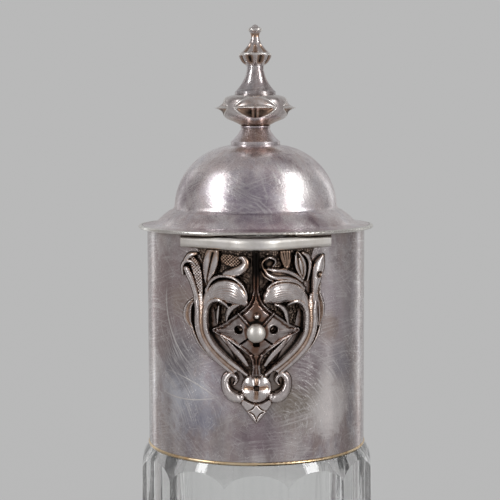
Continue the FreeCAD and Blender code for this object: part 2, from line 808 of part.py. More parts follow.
def hinge_bracket():
    """The two outer knuckles and the block that carries them on the collar."""
    half = size.knuckle_length * 1.5
    middle = size.knuckle_length / 2 + size.knuckle_gap / 2
    top = mouth_level - size.hinge_rise / 2
    block = box(
        "bracket_block",
        (-half, 0, top - size.bracket_height),
        (half, hinge_back, top),
    )
    barrel = bar("bracket_barrel", size.knuckle_radius, (-half, hinge_back, hinge_level),
                 (half, hinge_back, hinge_level), "x")
    room = bar("bracket_room", size.knuckle_radius + size.hinge_gap / 2, (-middle, hinge_back, hinge_level),
               (middle, hinge_back, hinge_level), "x")
    bore = bar("bracket_bore", size.pin_radius + size.film / 2, (-half, hinge_back, hinge_level),
               (half, hinge_back, hinge_level), "x")
    core = bar("bracket_core", size.collar_radius + size.film, (0, 0, foot_level), (0, 0, mouth_level), "z")
    solid = joined("bracket_solid", block, barrel)
    return cut("hinge_bracket", solid, joined("bracket_cuts", room, bore, core))


def hinge_pin():
    half = size.knuckle_length * 1.5 + size.pin_radius / 2
    start, end = (-half, hinge_back, hinge_level), (half, hinge_back, hinge_level)
    return bar("hinge_pin", size.pin_radius, start, end, "x")


def lid_hinge_strap():
    """The middle knuckle and the strap that lies on the brim."""
    half = size.knuckle_length / 2 - size.knuckle_gap / 2
    strap = box(
        "strap_block",
        (-half, size.lid_radius - size.strap_reach, mouth_level + size.film),
        (half, hinge_back, mouth_level + size.strap_height),
    )
    barrel = bar("strap_barrel", size.knuckle_radius, (-half, hinge_back, hinge_level),
                 (half, hinge_back, hinge_level), "x")
    bore = bar("strap_bore", size.pin_radius + size.pin_play, (-half, hinge_back, hinge_level),
               (half, hinge_back, hinge_level), "x")
    lid_below = turned("strap_seat", lid_corners(size.film, ZERO))
    wire_below = ring("strap_wire_seat", size.lid_radius / 2, size.lid_radius + size.film,
                      mouth_level, mouth_level + size.rim_wire + size.film)
    solid = joined("strap_solid", strap, barrel)
    return cut("lid_hinge_strap", solid, joined("strap_cuts", bore, lid_below, wire_below))


def thumbpiece():
    """A leaning plate on the strap, rounded over at its top."""
    foot = mouth_level + size.strap_height
    front = size.lid_radius - size.thumb_thickness
    back = size.lid_radius
    half = size.thumb_thickness / 2
    top = foot + size.thumb_height - half
    return padded("thumbpiece", "YZ_Plane", [
        (back, foot),
        (back + size.thumb_lean, top, size.thumb_height, RIGHT),
        (back + size.thumb_lean - half, top + half, half, LEFT),
        (front + size.thumb_lean, top, half, LEFT),
        (front, foot, size.thumb_height, LEFT),
    ], size.thumb_half_width * 2, midplane=True)


# Lid

def lid_corners(lift, bore):
    """Half the section of the lid, raised by the lift."""
    base = mouth_level + lift
    dome_foot = base + size.dome_rise
    top = dome_foot + size.dome_height
    crown = size.foot_radius
    inner = size.dome_radius - size.lid_wall
    inner_bend = size.dome_bend - size.lid_wall
    return [
        (bore, top),
        (bore, top - size.lid_wall),
        (crown, top - size.lid_wall),
        (inner, dome_foot, inner_bend, RIGHT),
        (inner, base + size.step_rise - size.lid_wall),
        (size.bezel_radius - size.bezel_wall * 1.5, base),
        (brim_edge, base),
        (brim_edge, base + size.rim_wire),
        (size.brim_radius, base + size.brim_rise, size.dome_bend / 2, RIGHT),
        (size.step_radius, base + size.step_rise, size.dome_bend, LEFT),
        (size.dome_radius, dome_foot, size.step_round, RIGHT),
        (crown, top, size.dome_bend, LEFT),
    ]


def lid_dome():
    return turned("lid_dome", lid_corners(ZERO, rod_bore))


def lid_rim_wire():
    """The half-round wire along the lid's edge."""
    return half_round_wire(
        "lid_rim_wire", size.lid_radius - size.rim_wire, size.lid_radius, mouth_level, size.rim_wire)


def lid_bezel():
    inner = size.bezel_radius - size.bezel_wall
    return ring("lid_bezel", inner, size.bezel_radius, mouth_level - size.bezel_depth, mouth_level)


# Finial

def finial_foot():
    band = size.foot_height / 6
    bead = size.foot_bead / 2
    return turned("finial_foot", [
        (rod_bore, dome_top),
        (size.foot_radius, dome_top),
        (size.foot_radius, dome_top + band),
        (size.waist_radius, knop_foot - size.foot_bead, size.foot_height * 2, RIGHT),
        (size.waist_radius + bead, knop_foot - bead, bead, LEFT),
        (size.waist_radius, knop_foot, bead, LEFT),
        (rod_bore, knop_foot),
    ])


def knop_corners(bore, swell):
    bowl = knop_foot + size.knop_height * 0.28
    shoulder = spool_foot - size.knop_height * 0.2
    radius = size.knop_radius + swell
    return [
        (bore, knop_foot),
        (size.waist_radius + swell, knop_foot),
        (radius, bowl, size.knop_height * 1.4, LEFT),
        (radius, shoulder, size.knop_bulge, LEFT),
        (size.knop_top_radius + swell, spool_foot, size.knop_height / 2, LEFT),
        (bore, spool_foot),
    ]


def finial_knop():
    return turned("finial_knop", knop_corners(rod_bore, ZERO))


def finial_knop_points():
    """Four lozenge points round the knop, front, back, left and right."""
    level = knop_foot + size.knop_height / 2
    sunk = size.knop_radius * 0.74
    blunt_tip = 0.05
    body = new_body("knop_point_set")
    body.AllowCompound = True
    sketches = []
    for name, reach, share in (("foot", sunk, 1), ("tip", size.point_reach, blunt_tip)):
        sketch = new_sketch(body, f"knop_point_{name}", "XZ_Plane", reach)
        side = size.point_half_width * share
        rise = size.point_half_height * share
        draw(sketch, [(side, level), (0, level + rise), (-side, level), (0, level - rise)])
        sketches.append(sketch)
    point = body.newObject("PartDesign::AdditiveLoft", "knop_point")
    point.Profile = sketches[0]
    point.Sections = sketches[1:]
    point.Ruled = True
    pattern = body.newObject("PartDesign::PolarPattern", "knop_point_pattern")
    pattern.Originals = [point]
    pattern.Axis = (origin_feature(body, "Z_Axis"), [""])
    pattern.Occurrences = 4
    body.Tip = pattern
    return cut("finial_knop_points", body, turned("knop_points_seat", knop_corners(ZERO, size.film)))


def finial_spool():
    band = size.spool_height / 10
    return turned("finial_spool", [
        (rod_bore, spool_foot),
        (size.spool_radius, spool_foot),
        (size.spool_radius, spool_foot + band),
        (size.spool_neck, bud_foot - size.spool_neck / 2, size.spool_height * 1.4, RIGHT),
        (size.spool_neck, bud_foot),
        (rod_bore, bud_foot),
    ])


def finial_bud():
    """The small knop, hollowed into lobes."""
    ridge = bud_foot + size.bud_ridge
    body = turned("finial_bud", [
        (rod_bore, bud_foot),
        (size.spool_neck, bud_foot),
        (size.bud_radius, ridge, size.bud_bend, LEFT),
        (size.bud_radius, ridge + size.bud_ridge / 5),
        (size.button_neck, button_foot, size.bud_hollow, RIGHT),
        (rod_bore, button_foot),
    ])
    sketch = new_sketch(body, "bud_flute_outline", "XY_Plane", bud_foot)
    draw_circle(sketch, size.bud_flute_centre, ZERO, size.bud_flute)
    pocket = body.newObject("PartDesign::Pocket", "bud_flute_cut")
    pocket.Profile = sketch
    pocket.Reversed = True
    pocket.setExpression("Length", size.bud_height.formula)
    pattern = body.newObject("PartDesign::PolarPattern", "bud_flute_pattern")
    pattern.Originals = [pocket]
    pattern.Axis = (sketch, ["N_Axis"])
    pattern.setExpression("Occurrences", size.bud_lobes.formula)
    body.Tip = pattern
    return body


def finial_button():
    taper_foot = button_foot + size.button_neck_height
    centre = taper_foot + size.button_flare
    return turned("finial_button", [
        (rod_bore, button_foot),
        (size.button_neck, button_foot),
        (size.button_neck, taper_foot),
        (size.button_radius, centre),
        (0, centre + size.button_radius, size.button_radius, LEFT),
        (0, centre),
        (rod_bore, centre),
    ])


def washer_foot():
    return dome_top - size.lid_wall - size.washer_height


def finial_rod():
    low = washer_foot() - size.nut_height - size.rod_tail
    high = button_foot + size.button_neck_height
    return bar("finial_rod", size.rod_radius, (0, 0, low), (0, 0, high), "z")


def finial_washer():
    low = washer_foot()
    return ring("finial_washer", rod_bore, size.washer_radius, low, low + size.washer_height)


def finial_nut():
    body = new_body("finial_nut")
    sketch = new_sketch(body, "nut_outline", "XY_Plane", washer_foot() - size.nut_height)
    sides = [math.radians(60 * number) for number in range(6)]
    draw(sketch, [(size.nut_radius * math.cos(turn), size.nut_radius * math.sin(turn)) for turn in sides])
    draw_circle(sketch, ZERO, ZERO, rod_bore)
    pad = body.newObject("PartDesign::Pad", "nut_pad")
    pad.Profile = sketch
    pad.setExpression("Length", size.nut_height.formula)
    return body


# Assembly

ground = seat("ornament_ground", size.film)
scroll = spout_scroll(ground)
volute = spout_volute(ground)

pieces = {
    "glass_body": glass_body(),
    "neck_cement": neck_cement(),
    "collar": collar(),
    "collar_foot_wire": collar_foot_wire(),
    "mouth_ring": mouth_ring(),
    "spout_shell": spout_shell(),
    "spout_lip": spout_lip(),
    "spout_scroll_left": scroll,
    "spout_scroll_right": mirrored("spout_scroll_right", scroll),
    "spout_cross_plate": spout_cross_plate(ground),
    "spout_pearl": spout_pearl(ground),
    "spout_rosette": spout_rosette(ground),
    "spout_volute_left": volute,
    "spout_volute_right": mirrored("spout_volute_right", volute),
    "spout_drop": spout_drop(ground),
    "handle": handle(),
    "handle_upper_boss": handle_boss("handle_upper_boss", upper_boss_level),
    "handle_lower_boss": handle_boss("handle_lower_boss", lower_boss_level),
    "hinge_bracket": hinge_bracket(),
    "hinge_pin": hinge_pin(),
    "lid_dome": lid_dome(),
    "lid_rim_wire": lid_rim_wire(),
    "lid_bezel": lid_bezel(),
    "lid_hinge_strap": lid_hinge_strap(),
    "thumbpiece": thumbpiece(),
    "finial_foot": finial_foot(),
    "finial_knop": finial_knop(),
    "finial_knop_points": finial_knop_points(),
    "finial_spool": finial_spool(),
    "finial_bud": finial_bud(),
    "finial_button": finial_button(),
    "finial_rod": finial_rod(),
    "finial_washer": finial_washer(),
    "finial_nut": finial_nut(),
}
doc.recompute()

broken = [item.Name for item in doc.Objects if "Invalid" in item.State or "Error" in item.State]
if broken:
    raise RuntimeError(f"didn't recompute: {broken}")

os.makedirs("parts", exist_ok=True)
for node, piece in pieces.items():
    piece.Label = node
    if piece.Shape.isNull() or not piece.Shape.isValid():
        raise RuntimeError(f"{node} has no valid shape")
    piece.Shape.exportStep(f"parts/{node}.step")
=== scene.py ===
import math

import bpy
import numpy as np
from mathutils import Euler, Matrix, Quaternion, Vector
from mathutils.bvhtree import BVHTree

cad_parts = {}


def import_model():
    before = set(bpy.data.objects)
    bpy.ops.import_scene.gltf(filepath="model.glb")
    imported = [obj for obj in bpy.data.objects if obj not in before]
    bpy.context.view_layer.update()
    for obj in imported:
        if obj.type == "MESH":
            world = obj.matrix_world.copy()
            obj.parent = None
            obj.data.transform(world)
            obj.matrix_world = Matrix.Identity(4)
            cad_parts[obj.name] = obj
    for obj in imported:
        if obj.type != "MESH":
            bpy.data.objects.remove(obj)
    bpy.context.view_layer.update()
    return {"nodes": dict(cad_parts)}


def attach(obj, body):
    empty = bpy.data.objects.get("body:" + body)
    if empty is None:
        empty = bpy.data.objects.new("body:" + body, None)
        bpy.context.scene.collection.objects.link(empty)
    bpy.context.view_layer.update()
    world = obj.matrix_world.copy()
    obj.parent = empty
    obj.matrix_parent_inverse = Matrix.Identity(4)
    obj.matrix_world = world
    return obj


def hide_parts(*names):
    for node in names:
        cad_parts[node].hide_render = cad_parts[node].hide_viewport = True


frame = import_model()
nodes = frame["nodes"]

# Shapes are in millimetres and become metres through MM. Lamps, camera and materials are in metres.
MM = 0.001


# Shader nodes

def add(tree, kind, values=None, **settings):
    """A shader node; values are sockets to link or numbers to set, by input name or index."""
    node = tree.nodes.new(kind)
    for setting, value in settings.items():
        setattr(node, setting, value)
    for key, value in (values or {}).items():
        if isinstance(value, bpy.types.NodeSocket):
            tree.links.new(value, node.inputs[key])
        else:
            node.inputs[key].default_value = value
    return node


def colour(red, green, blue):
    return (red, green, blue, 1.0)


def ramp(tree, factor, stops):
    """A colour ramp; stops are (position, colour)."""
    node = add(tree, "ShaderNodeValToRGB", {"Fac": factor})
    elements = node.color_ramp.elements
    while len(elements) < len(stops):
        elements.new(0.5)
    for element, (position, shade) in zip(elements, stops):
        element.position = position
        element.color = shade
    return node.outputs["Color"]


def noise(tree, place, scale, detail=4.0, roughness=0.55, distortion=0.0):
    node = add(tree, "ShaderNodeTexNoise", {
        "Vector": place, "Scale": scale, "Detail": detail, "Roughness": roughness, "Distortion": distortion})
    return node.outputs["Fac"]


def level(tree, value, low, high, to_low, to_high):
    """Map a value from one range to another, held at its ends."""
    node = add(tree, "ShaderNodeMapRange", {
        "Value": value, "From Min": low, "From Max": high, "To Min": to_low, "To Max": to_high})
    return node.outputs["Result"]


def calc(tree, operation, first, second):
    return add(tree, "ShaderNodeMath", {0: first, 1: second}, operation=operation).outputs[0]


MIX_FIRST, MIX_SECOND, MIX_RESULT = 6, 7, 2


def blend(tree, factor, first, second, mode="MIX"):
    """Mix two colours; their sockets go by number, because others have the same names."""
    node = add(tree, "ShaderNodeMix", {"Factor": factor, MIX_FIRST: first, MIX_SECOND: second},
               data_type="RGBA", blend_type=mode)
    return node.outputs[MIX_RESULT]


def stretched(tree, place, factors):
    """The place times three factors; a small factor draws a pattern out along its axis."""
    return add(tree, "ShaderNodeVectorMath", {0: place, 1: factors}, operation="MULTIPLY").outputs[0]


def length(tree, vector):
    return add(tree, "ShaderNodeVectorMath", {0: vector}, operation="LENGTH").outputs["Value"]


def bump(tree, height, depth, below=None):
    """A normal from a height of 0 to 1 and its depth in metres, on top of the normal below it."""
    values = {"Height": height, "Distance": depth, "Strength": 1.0}
    if below is not None:
        values["Normal"] = below
    return add(tree, "ShaderNodeBump", values).outputs["Normal"]


def new_tree(item):
    """The emptied node tree of a material or a world."""
    item.use_nodes = True
    item.node_tree.nodes.clear()
    return item.node_tree


def new_material(name):
    material = bpy.data.materials.new(name)
    tree = new_tree(material)
    place = add(tree, "ShaderNodeTexCoord").outputs["Object"]
    return material, tree, place


def finish_surface(tree, base, dull, skin, metallic=1.0):
    surface = add(tree, "ShaderNodeBsdfPrincipled", {
        "Base Color": base, "Metallic": metallic, "Roughness": dull, "Normal": skin})
    add(tree, "ShaderNodeOutputMaterial", {"Surface": surface.outputs[0]})


# Camera, light and floor

def camera():
    """The photograph's viewpoint: in front of the jug at the height of its finial, looking a little down."""
    data = bpy.data.cameras.new("camera")
    data.sensor_width = 36.0
    data.lens = 98.53
    data.clip_start = 0.01
    item = bpy.data.objects.new("camera", data)
    item.location = (0, -0.39104, 0.25894)
    tilt, turn, roll = 0.0906, 0.0043, -0.0040
    aim = Euler((math.pi / 2 - tilt, 0, turn)).to_quaternion()
    item.rotation_mode = "QUATERNION"
    item.rotation_quaternion = aim @ Quaternion((0, 0, 1), roll)
    bpy.context.collection.objects.link(item)
    bpy.context.scene.camera = item


def softbox(name, azimuth, elevation, distance, width, height, power, lean=0):
    """An area lamp aimed at the collar.

    Angles are in degrees: azimuth counts from the front towards +X, and lean turns the lamp on its own axis.
    """
    target = Vector((0, 0, 0.22))
    across, up = math.radians(azimuth), math.radians(elevation)
    away = Vector((math.sin(across) * math.cos(up), -math.cos(across) * math.cos(up), math.sin(up)))
    data = bpy.data.lights.new(name, "AREA")
    data.shape = "RECTANGLE"
    data.size = width
    data.size_y = height
    data.energy = power
    item = bpy.data.objects.new(name, data)
    item.location = target + away * distance
    item.rotation_mode = "QUATERNION"
    item.rotation_quaternion = away.to_track_quat("Z", "Y") @ Quaternion((0, 0, 1), math.radians(lean))
    bpy.context.collection.objects.link(item)


def world():
    """A grey room: an even wall behind the jug, light and dark upright strips in front of it."""
    item = bpy.data.worlds.new("room")
    tree = new_tree(item)
    place = add(tree, "ShaderNodeTexCoord").outputs["Generated"]
    parts = add(tree, "ShaderNodeSeparateXYZ", {0: place})
    shade = ramp(tree, level(tree, parts.outputs["Y"], -1.0, 1.0, 0.0, 1.0), [
        (0.0, colour(0.46, 0.45, 0.455)),
        (0.5, colour(0.41, 0.40, 0.405)),
        (0.64, colour(0.31, 0.30, 0.30)),
        (0.74, colour(0.34, 0.33, 0.33)),
        (0.86, colour(0.47, 0.47, 0.47)),
        (1.0, colour(0.485, 0.485, 0.485)),
    ])
    upright = stretched(tree, place, (1.0, 1.0, 0.12))
    strips = ramp(tree, noise(tree, upright, 3.2, 3.0, 0.6), [
        (0.36, colour(0.62, 0.61, 0.62)), (0.5, colour(0.95, 0.94, 0.94)), (0.64, colour(1.30, 1.28, 1.27))])
    ahead = level(tree, parts.outputs["Y"], 0.45, 0.72, 1.0, 0.0)
    shade = blend(tree, ahead, shade, strips, "MULTIPLY")
    light = add(tree, "ShaderNodeBackground", {"Color": shade, "Strength": 1.0})
    add(tree, "ShaderNodeOutputWorld", {"Surface": light.outputs[0]})
    bpy.context.scene.world = item


def floor():
    """A round pale floor that thins out towards its edge."""
    radius, segments = 0.9, 96
    fade_start, fade_end = 0.20, 0.52
    turns = [2 * math.pi * step / segments for step in range(segments)]
    ring = [(radius * math.cos(turn), radius * math.sin(turn), 0) for turn in turns]
    mesh = bpy.data.meshes.new("floor")
    mesh.from_pydata(ring, [], [range(segments)])
    item = bpy.data.objects.new("floor", mesh)
    bpy.context.collection.objects.link(item)
    material, tree, place = new_material("floor")
    grain = noise(tree, place, 40.0)
    shade = ramp(tree, grain, [(0.3, colour(0.56, 0.56, 0.56)), (0.7, colour(0.60, 0.60, 0.60))])
    solid = add(tree, "ShaderNodeBsdfDiffuse", {"Color": shade, "Roughness": 0.5})
    clear = add(tree, "ShaderNodeBsdfTransparent")
    fade = add(tree, "ShaderNodeMapRange", {
        "Value": length(tree, place), "From Min": fade_start, "From Max": fade_end},
        interpolation_type="SMOOTHSTEP")
    both = add(tree, "ShaderNodeMixShader", {
        0: fade.outputs["Result"], 1: solid.outputs[0], 2: clear.outputs[0]})
    add(tree, "ShaderNodeOutputMaterial", {"Surface": both.outputs[0]})
    mesh.materials.append(material)


# Materials

def scratches(tree, place, cell, bend, thin):
    """Fine hairlines along the seams of bent cells: 1 on a line, 0 beside it."""
    drift = add(tree, "ShaderNodeTexNoise", {"Vector": place, "Scale": 90.0, "Detail": 2.0}).outputs["Color"]
    moved = stretched(tree, drift, (bend, bend, bend))
    bent = add(tree, "ShaderNodeVectorMath", {0: place, 1: moved}, operation="ADD").outputs[0]
    cells = add(tree, "ShaderNodeTexVoronoi", {"Vector": bent, "Scale": cell}, feature="DISTANCE_TO_EDGE")
    line = level(tree, cells.outputs["Distance"], 0.0, thin, 1.0, 0.0)
    gate = level(tree, noise(tree, place, cell * 0.7, 2.0), 0.44, 0.58, 0.0, 1.0)
    return calc(tree, "MULTIPLY", line, gate)


def offset_from(tree, place, centre):
    """The way to the place from a centre that is given in millimetres."""
    metres = [MM * value for value in centre]
    return add(tree, "ShaderNodeVectorMath", {0: place, 1: metres}, operation="SUBTRACT").outputs[0]


def patch(tree, place, centre, reach):
    """Near 1 round a centre on the metal, falling to 0 at a ragged edge; centre and reach in millimetres."""
    size = reach * MM
    core, edge, ragged_edge = 0.35 * size, 1.1 * size, 0.5 * size
    away = length(tree, offset_from(tree, place, centre))
    ragged = level(tree, noise(tree, place, 140.0, 9.0, 0.74, 0.6), 0.3, 0.7, -ragged_edge, ragged_edge)
    return level(tree, calc(tree, "ADD", away, ragged), core, edge, 0.95, 0.0)


def polish_arcs(tree, place, middle, gate):
    """Fine polishing lines that circle round a middle, where the gate lets them through."""
    lines_per_metre, breaks_per_radian = 2400.0, 3.0
    offset = offset_from(tree, place, middle)
    parts = add(tree, "ShaderNodeSeparateXYZ", {0: offset}).outputs
    angle = calc(tree, "ARCTAN2", parts["X"], parts["Z"])
    drawn_out = add(tree, "ShaderNodeCombineXYZ", {
        "X": calc(tree, "MULTIPLY", length(tree, offset), lines_per_metre),
        "Y": calc(tree, "MULTIPLY", angle, breaks_per_radian)}).outputs[0]
    lines = level(tree, noise(tree, drawn_out, 1.0, 2.0, 0.6), 0.50, 0.64, 0.0, 1.0)
    return calc(tree, "MULTIPLY", lines, gate)


def long_scratch(tree, place, middle, radius, gate):
    """One thin scratch at a radius round the middle, where the gate lets it through."""
    full_until, gone_from = 0.08 * MM, 0.22 * MM
    away = length(tree, offset_from(tree, place, middle))
    gap = calc(tree, "ABSOLUTE", calc(tree, "SUBTRACT", away, radius * MM), 0.0)
    return calc(tree, "MULTIPLY", level(tree, gap, full_until, gone_from, 1.0, 0.0), gate)


def tarnish(tree, place, tones):
    """Tones that drift into one another and are drawn out upwards."""
    dark, dim, plain, pale, warm, cool = tones
    upright = stretched(tree, place, (1.0, 1.0, 0.4))
    base = ramp(tree, noise(tree, upright, 60.0, 10.0, 0.68, 0.6), [
        (0.35, dark), (0.45, dim), (0.53, plain), (0.65, pale)])
    # Each layer: its noise, the values between which it comes in, its strength and its tone
    layers = [
        (noise(tree, upright, 110.0, 9.0, 0.70, 0.4), 0.42, 0.68, 0.75, warm),
        (noise(tree, upright, 150.0, 9.0, 0.74, 0.4), 0.50, 0.72, 0.70, cool),
        (noise(tree, place, 380.0, 6.0, 0.72, 0.4), 0.53, 0.66, 0.50, dark),
        (noise(tree, place, 290.0, 6.0, 0.72, 0.6), 0.54, 0.68, 0.50, pale),
    ]
    for pattern, low, high, strength, tone in layers:
        base = blend(tree, level(tree, pattern, low, high, 0.0, strength), base, tone)
    return base


# Middles of polishing arcs, and the scale of the noise that breaks them up
BRUSH_MIDDLES = [
    ((-70, -40, 130), 95.0), ((60, -70, 300), 120.0), ((8, -24, 90), 150.0), ((-40, 20, 330), 80.0),
]


def polish(tree, place, rubbed):
    """Polishing lines in several directions all over the metal, and stronger ones in the rubbed patches."""
    gates = []
    for middle, scale in BRUSH_MIDDLES:
        gates.append((middle, level(tree, noise(tree, place, scale, 3.0), 0.45, 0.63, 0.0, 0.6)))
    for centre, reach, middle in rubbed:
        gates.append((middle, patch(tree, place, centre, reach)))
    lines = 0.0
    for middle, gate in gates:
        lines = calc(tree, "MAXIMUM", lines, polish_arcs(tree, place, middle, gate))
    return lines


def tarnished_silver(name, tones, rough, tarnish_and_painted_light=(), rubbed=(), scored=()):
    """Polished silver with tarnish, hairlines and painted shade in its creases; rough is its least and most
    roughness.

    tarnish_and_painted_light are coloured patches as (centre, reach, colour): tarnish, and in places painted
    shadow and painted highlights. rubbed are patches of polishing arcs as (centre, reach, middle). scored are
    patches that show one long scratch as (centre, reach, middle, radius).
    """
    material, tree, place = new_material(name)
    base = tarnish(tree, place, tones)
    for centre, reach, shade in tarnish_and_painted_light:
        base = blend(tree, patch(tree, place, centre, reach), base, shade)
    rubs = polish(tree, place, rubbed)
    lines = scratches(tree, place, 420.0, 0.012, 0.018)
    fine = scratches(tree, place, 1100.0, 0.009, 0.03)
    hairlines = [
        (lines, 0.45, colour(0.90, 0.88, 0.87)), (fine, 0.6, colour(0.84, 0.82, 0.81)),
        (rubs, 0.85, colour(0.88, 0.86, 0.85)),
    ]
    for pattern, strength, shade in hairlines:
        base = blend(tree, calc(tree, "MULTIPLY", pattern, strength), base, shade)
    for centre, reach, middle, radius in scored:
        mark = long_scratch(tree, place, middle, radius, patch(tree, place, centre, reach))
        base = blend(tree, mark, base, colour(0.95, 0.93, 0.90))
    # Painted shade: the metal turns dark brown in creases and nooks, where little ambient light reaches.
    nook = add(tree, "ShaderNodeAmbientOcclusion", {"Distance": 0.004}, samples=6).outputs["AO"]
    crease_shade = level(tree, nook, 0.3, 0.8, 0.95, 0.0)
    base = blend(tree, crease_shade, base, colour(0.16, 0.12, 0.09))
    dull = level(tree, noise(tree, place, 110.0, 4.0), 0.3, 0.7, *rough)
    haze = level(tree, noise(tree, place, 5200.0, 2.0), 0.4, 0.62, 0.0, 0.12)
    dull = calc(tree, "ADD", calc(tree, "ADD", dull, haze), calc(tree, "MULTIPLY", lines, 0.12))
    sheet_deep, line_deep, rub_deep = 0.00010, 0.000006, 0.000012
    sheet = bump(tree, noise(tree, place, 60.0, 1.0), sheet_deep)
    skin = bump(tree, calc(tree, "ADD", lines, fine), line_deep, sheet)
    skin = bump(tree, rubs, rub_deep, skin)
    finish_surface(tree, base, dull, skin)
    return material


def cast_silver(name, painted_lightening):
    """Cast silver: worn on its edges, oxidised to brown and black in its recesses, with the painted shade and
    highlights of its attribute; painted_lightening lightens it all, painted light for how brightly a part is
    lit.
    """
    material, tree, place = new_material(name)
    patches = noise(tree, place, 260.0, 5.0, 0.6, 0.8)
    face = ramp(tree, patches, [
        (0.3, colour(0.32 + painted_lightening, 0.265 + painted_lightening, 0.25 + painted_lightening)),
        (0.5, colour(0.47 + painted_lightening, 0.42 + painted_lightening, 0.405 + painted_lightening)),
        (0.72, colour(0.62 + painted_lightening, 0.585 + painted_lightening, 0.565 + painted_lightening))])
    # The attribute read here holds how deep each point lies, and also painted shade and painted highlights;
    # the light, copper and black tones below show them.
    hollow_and_shade = add(tree, "ShaderNodeAttribute", attribute_name="hollow_and_shade").outputs["Fac"]
    uneven = calc(tree, "ADD", hollow_and_shade, level(tree, noise(tree, place, 700.0, 4.0), 0.3, 0.7, -0.1, 0.1))
    wear_and_painted_highlight = level(tree, uneven, -0.35, -0.1, 1.0, 0.0)
    copper = level(tree, uneven, 0.08, 0.34, 0.0, 1.0)
    black = level(tree, uneven, 0.42, 0.78, 0.0, 1.0)
    base = blend(tree, wear_and_painted_highlight, face, colour(0.88, 0.85, 0.81))
    base = blend(tree, copper, base, colour(0.27 + painted_lightening, 0.165 + 0.8 * painted_lightening, 0.12 + 0.6 * painted_lightening))
    base = blend(tree, black, base, colour(0.02, 0.017, 0.015))
    dull = level(tree, patches, 0.3, 0.7, 0.20, 0.34)
    dull = calc(tree, "ADD", dull, calc(tree, "MULTIPLY", black, 0.25))
    lines = scratches(tree, place, 1500.0, 0.006, 0.03)
    grain = calc(tree, "ADD", noise(tree, place, 2600.0, 2.0), calc(tree, "MULTIPLY", lines, 0.4))
    skin = bump(tree, grain, 0.00001)
    finish_surface(tree, base, dull, skin)
    return material


def oxidised_silver(name):
    """The dark ground behind the pierced ornament."""
    material, tree, place = new_material(name)
    patches = noise(tree, place, 240.0, 5.0, 0.65)
    base = ramp(tree, patches, [
        (0.3, colour(0.07, 0.054, 0.046)),
        (0.52, colour(0.20, 0.15, 0.12)),
        (0.75, colour(0.36, 0.265, 0.20))])
    dull = level(tree, patches, 0.3, 0.7, 0.26, 0.42)
    dots = add(tree, "ShaderNodeTexVoronoi", {"Vector": place, "Scale": 1500.0}).outputs["Distance"]
    base = blend(tree, level(tree, dots, 0.35, 0.7, 0.0, 0.8), base, colour(0.02, 0.017, 0.015))
    skin = bump(tree, dots, 0.00025)
    finish_surface(tree, base, dull, skin)
    return material


def gilt(name):
    material, tree, place = new_material(name)
    wear = noise(tree, place, 300.0, 4.0)
    base = ramp(tree, wear, [(0.35, colour(0.72, 0.50, 0.27)), (0.6, colour(0.86, 0.70, 0.47))])
    dull = level(tree, wear, 0.3, 0.7, 0.22, 0.36)
    skin = bump(tree, noise(tree, place, 1500.0, 3.0), 0.00001)
    finish_surface(tree, base, dull, skin)
    return material


def brass(name):
    material, tree, place = new_material(name)
    wear = noise(tree, place, 400.0, 4.0)
    base = ramp(tree, wear, [(0.35, colour(0.36, 0.25, 0.12)), (0.65, colour(0.60, 0.45, 0.22))])
    dull = level(tree, wear, 0.3, 0.7, 0.28, 0.45)
    skin = bump(tree, scratches(tree, place, 1500.0, 0.004, 0.04), 0.00001)
    finish_surface(tree, base, dull, skin)
    return material


def plaster(name):
    material, tree, place = new_material(name)
    grain = noise(tree, place, 900.0, 6.0, 0.7)
    base = ramp(tree, grain, [(0.3, colour(0.62, 0.58, 0.50)), (0.7, colour(0.78, 0.75, 0.68))])
    skin = bump(tree, grain, 0.0002)
    finish_surface(tree, base, 0.9, skin, metallic=0.0)
    return material


def glass(name):
    """Clear cut glass with the faint ripple of its polish."""
    material, tree, place = new_material(name)
    upright = stretched(tree, place, (1.0, 1.0, 0.1))
    ripple = noise(tree, upright, 110.0, 2.0)
    dust = level(tree, noise(tree, place, 500.0, 5.0), 0.45, 0.75, 0.0, 0.06)
    skin = bump(tree, ripple, 0.0009)
    surface = add(tree, "ShaderNodeBsdfPrincipled", {
        "Base Color": colour(0.985, 0.995, 0.99), "Roughness": dust, "IOR": 1.5, "Transmission Weight": 1.0,
        "Coat Weight": 0.7, "Coat Roughness": 0.02, "Coat IOR": 1.8, "Normal": skin})
    through = add(tree, "ShaderNodeBsdfTransparent", {"Color": colour(0.97, 0.985, 0.98)})
    thin = level(tree, ripple, 0.3, 0.7, 0.03, 0.07)
    both = add(tree, "ShaderNodeMixShader", {0: thin, 1: surface.outputs[0], 2: through.outputs[0]})
    add(tree, "ShaderNodeOutputMaterial", {"Surface": both.outputs[0]})
    return material


# Mesh tools

def new_piece(name, points, faces, material, body, replaced):
    """A smooth-shaded piece that rides on a body and stands for its CAD nodes."""
    mesh = bpy.data.meshes.new(name)
    mesh.from_pydata(points, [], faces)
    mesh.polygons.foreach_set("use_smooth", [True] * len(mesh.polygons))
    mesh.materials.append(material)
    mesh.update()
    item = bpy.data.objects.new(name, mesh)
    bpy.context.collection.objects.link(item)
    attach(item, body)
    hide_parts(*replaced)
    return item


def set_hollow_and_shade(item, values):
    """How deep each point lies among its neighbours, with painted shade and painted highlights added in
    places: below 0 on edges, towards 1 in hollows.
    """
    attribute = item.data.attributes.new("hollow_and_shade", "FLOAT", "POINT")
    attribute.data.foreach_set("value", np.array(values, np.float32))


def swell(value, centre, width):
    """A smooth hump: 1 at the centre, falling to 0 on both sides over about twice the width."""
    return np.exp(-((value - centre) / width) ** 2)


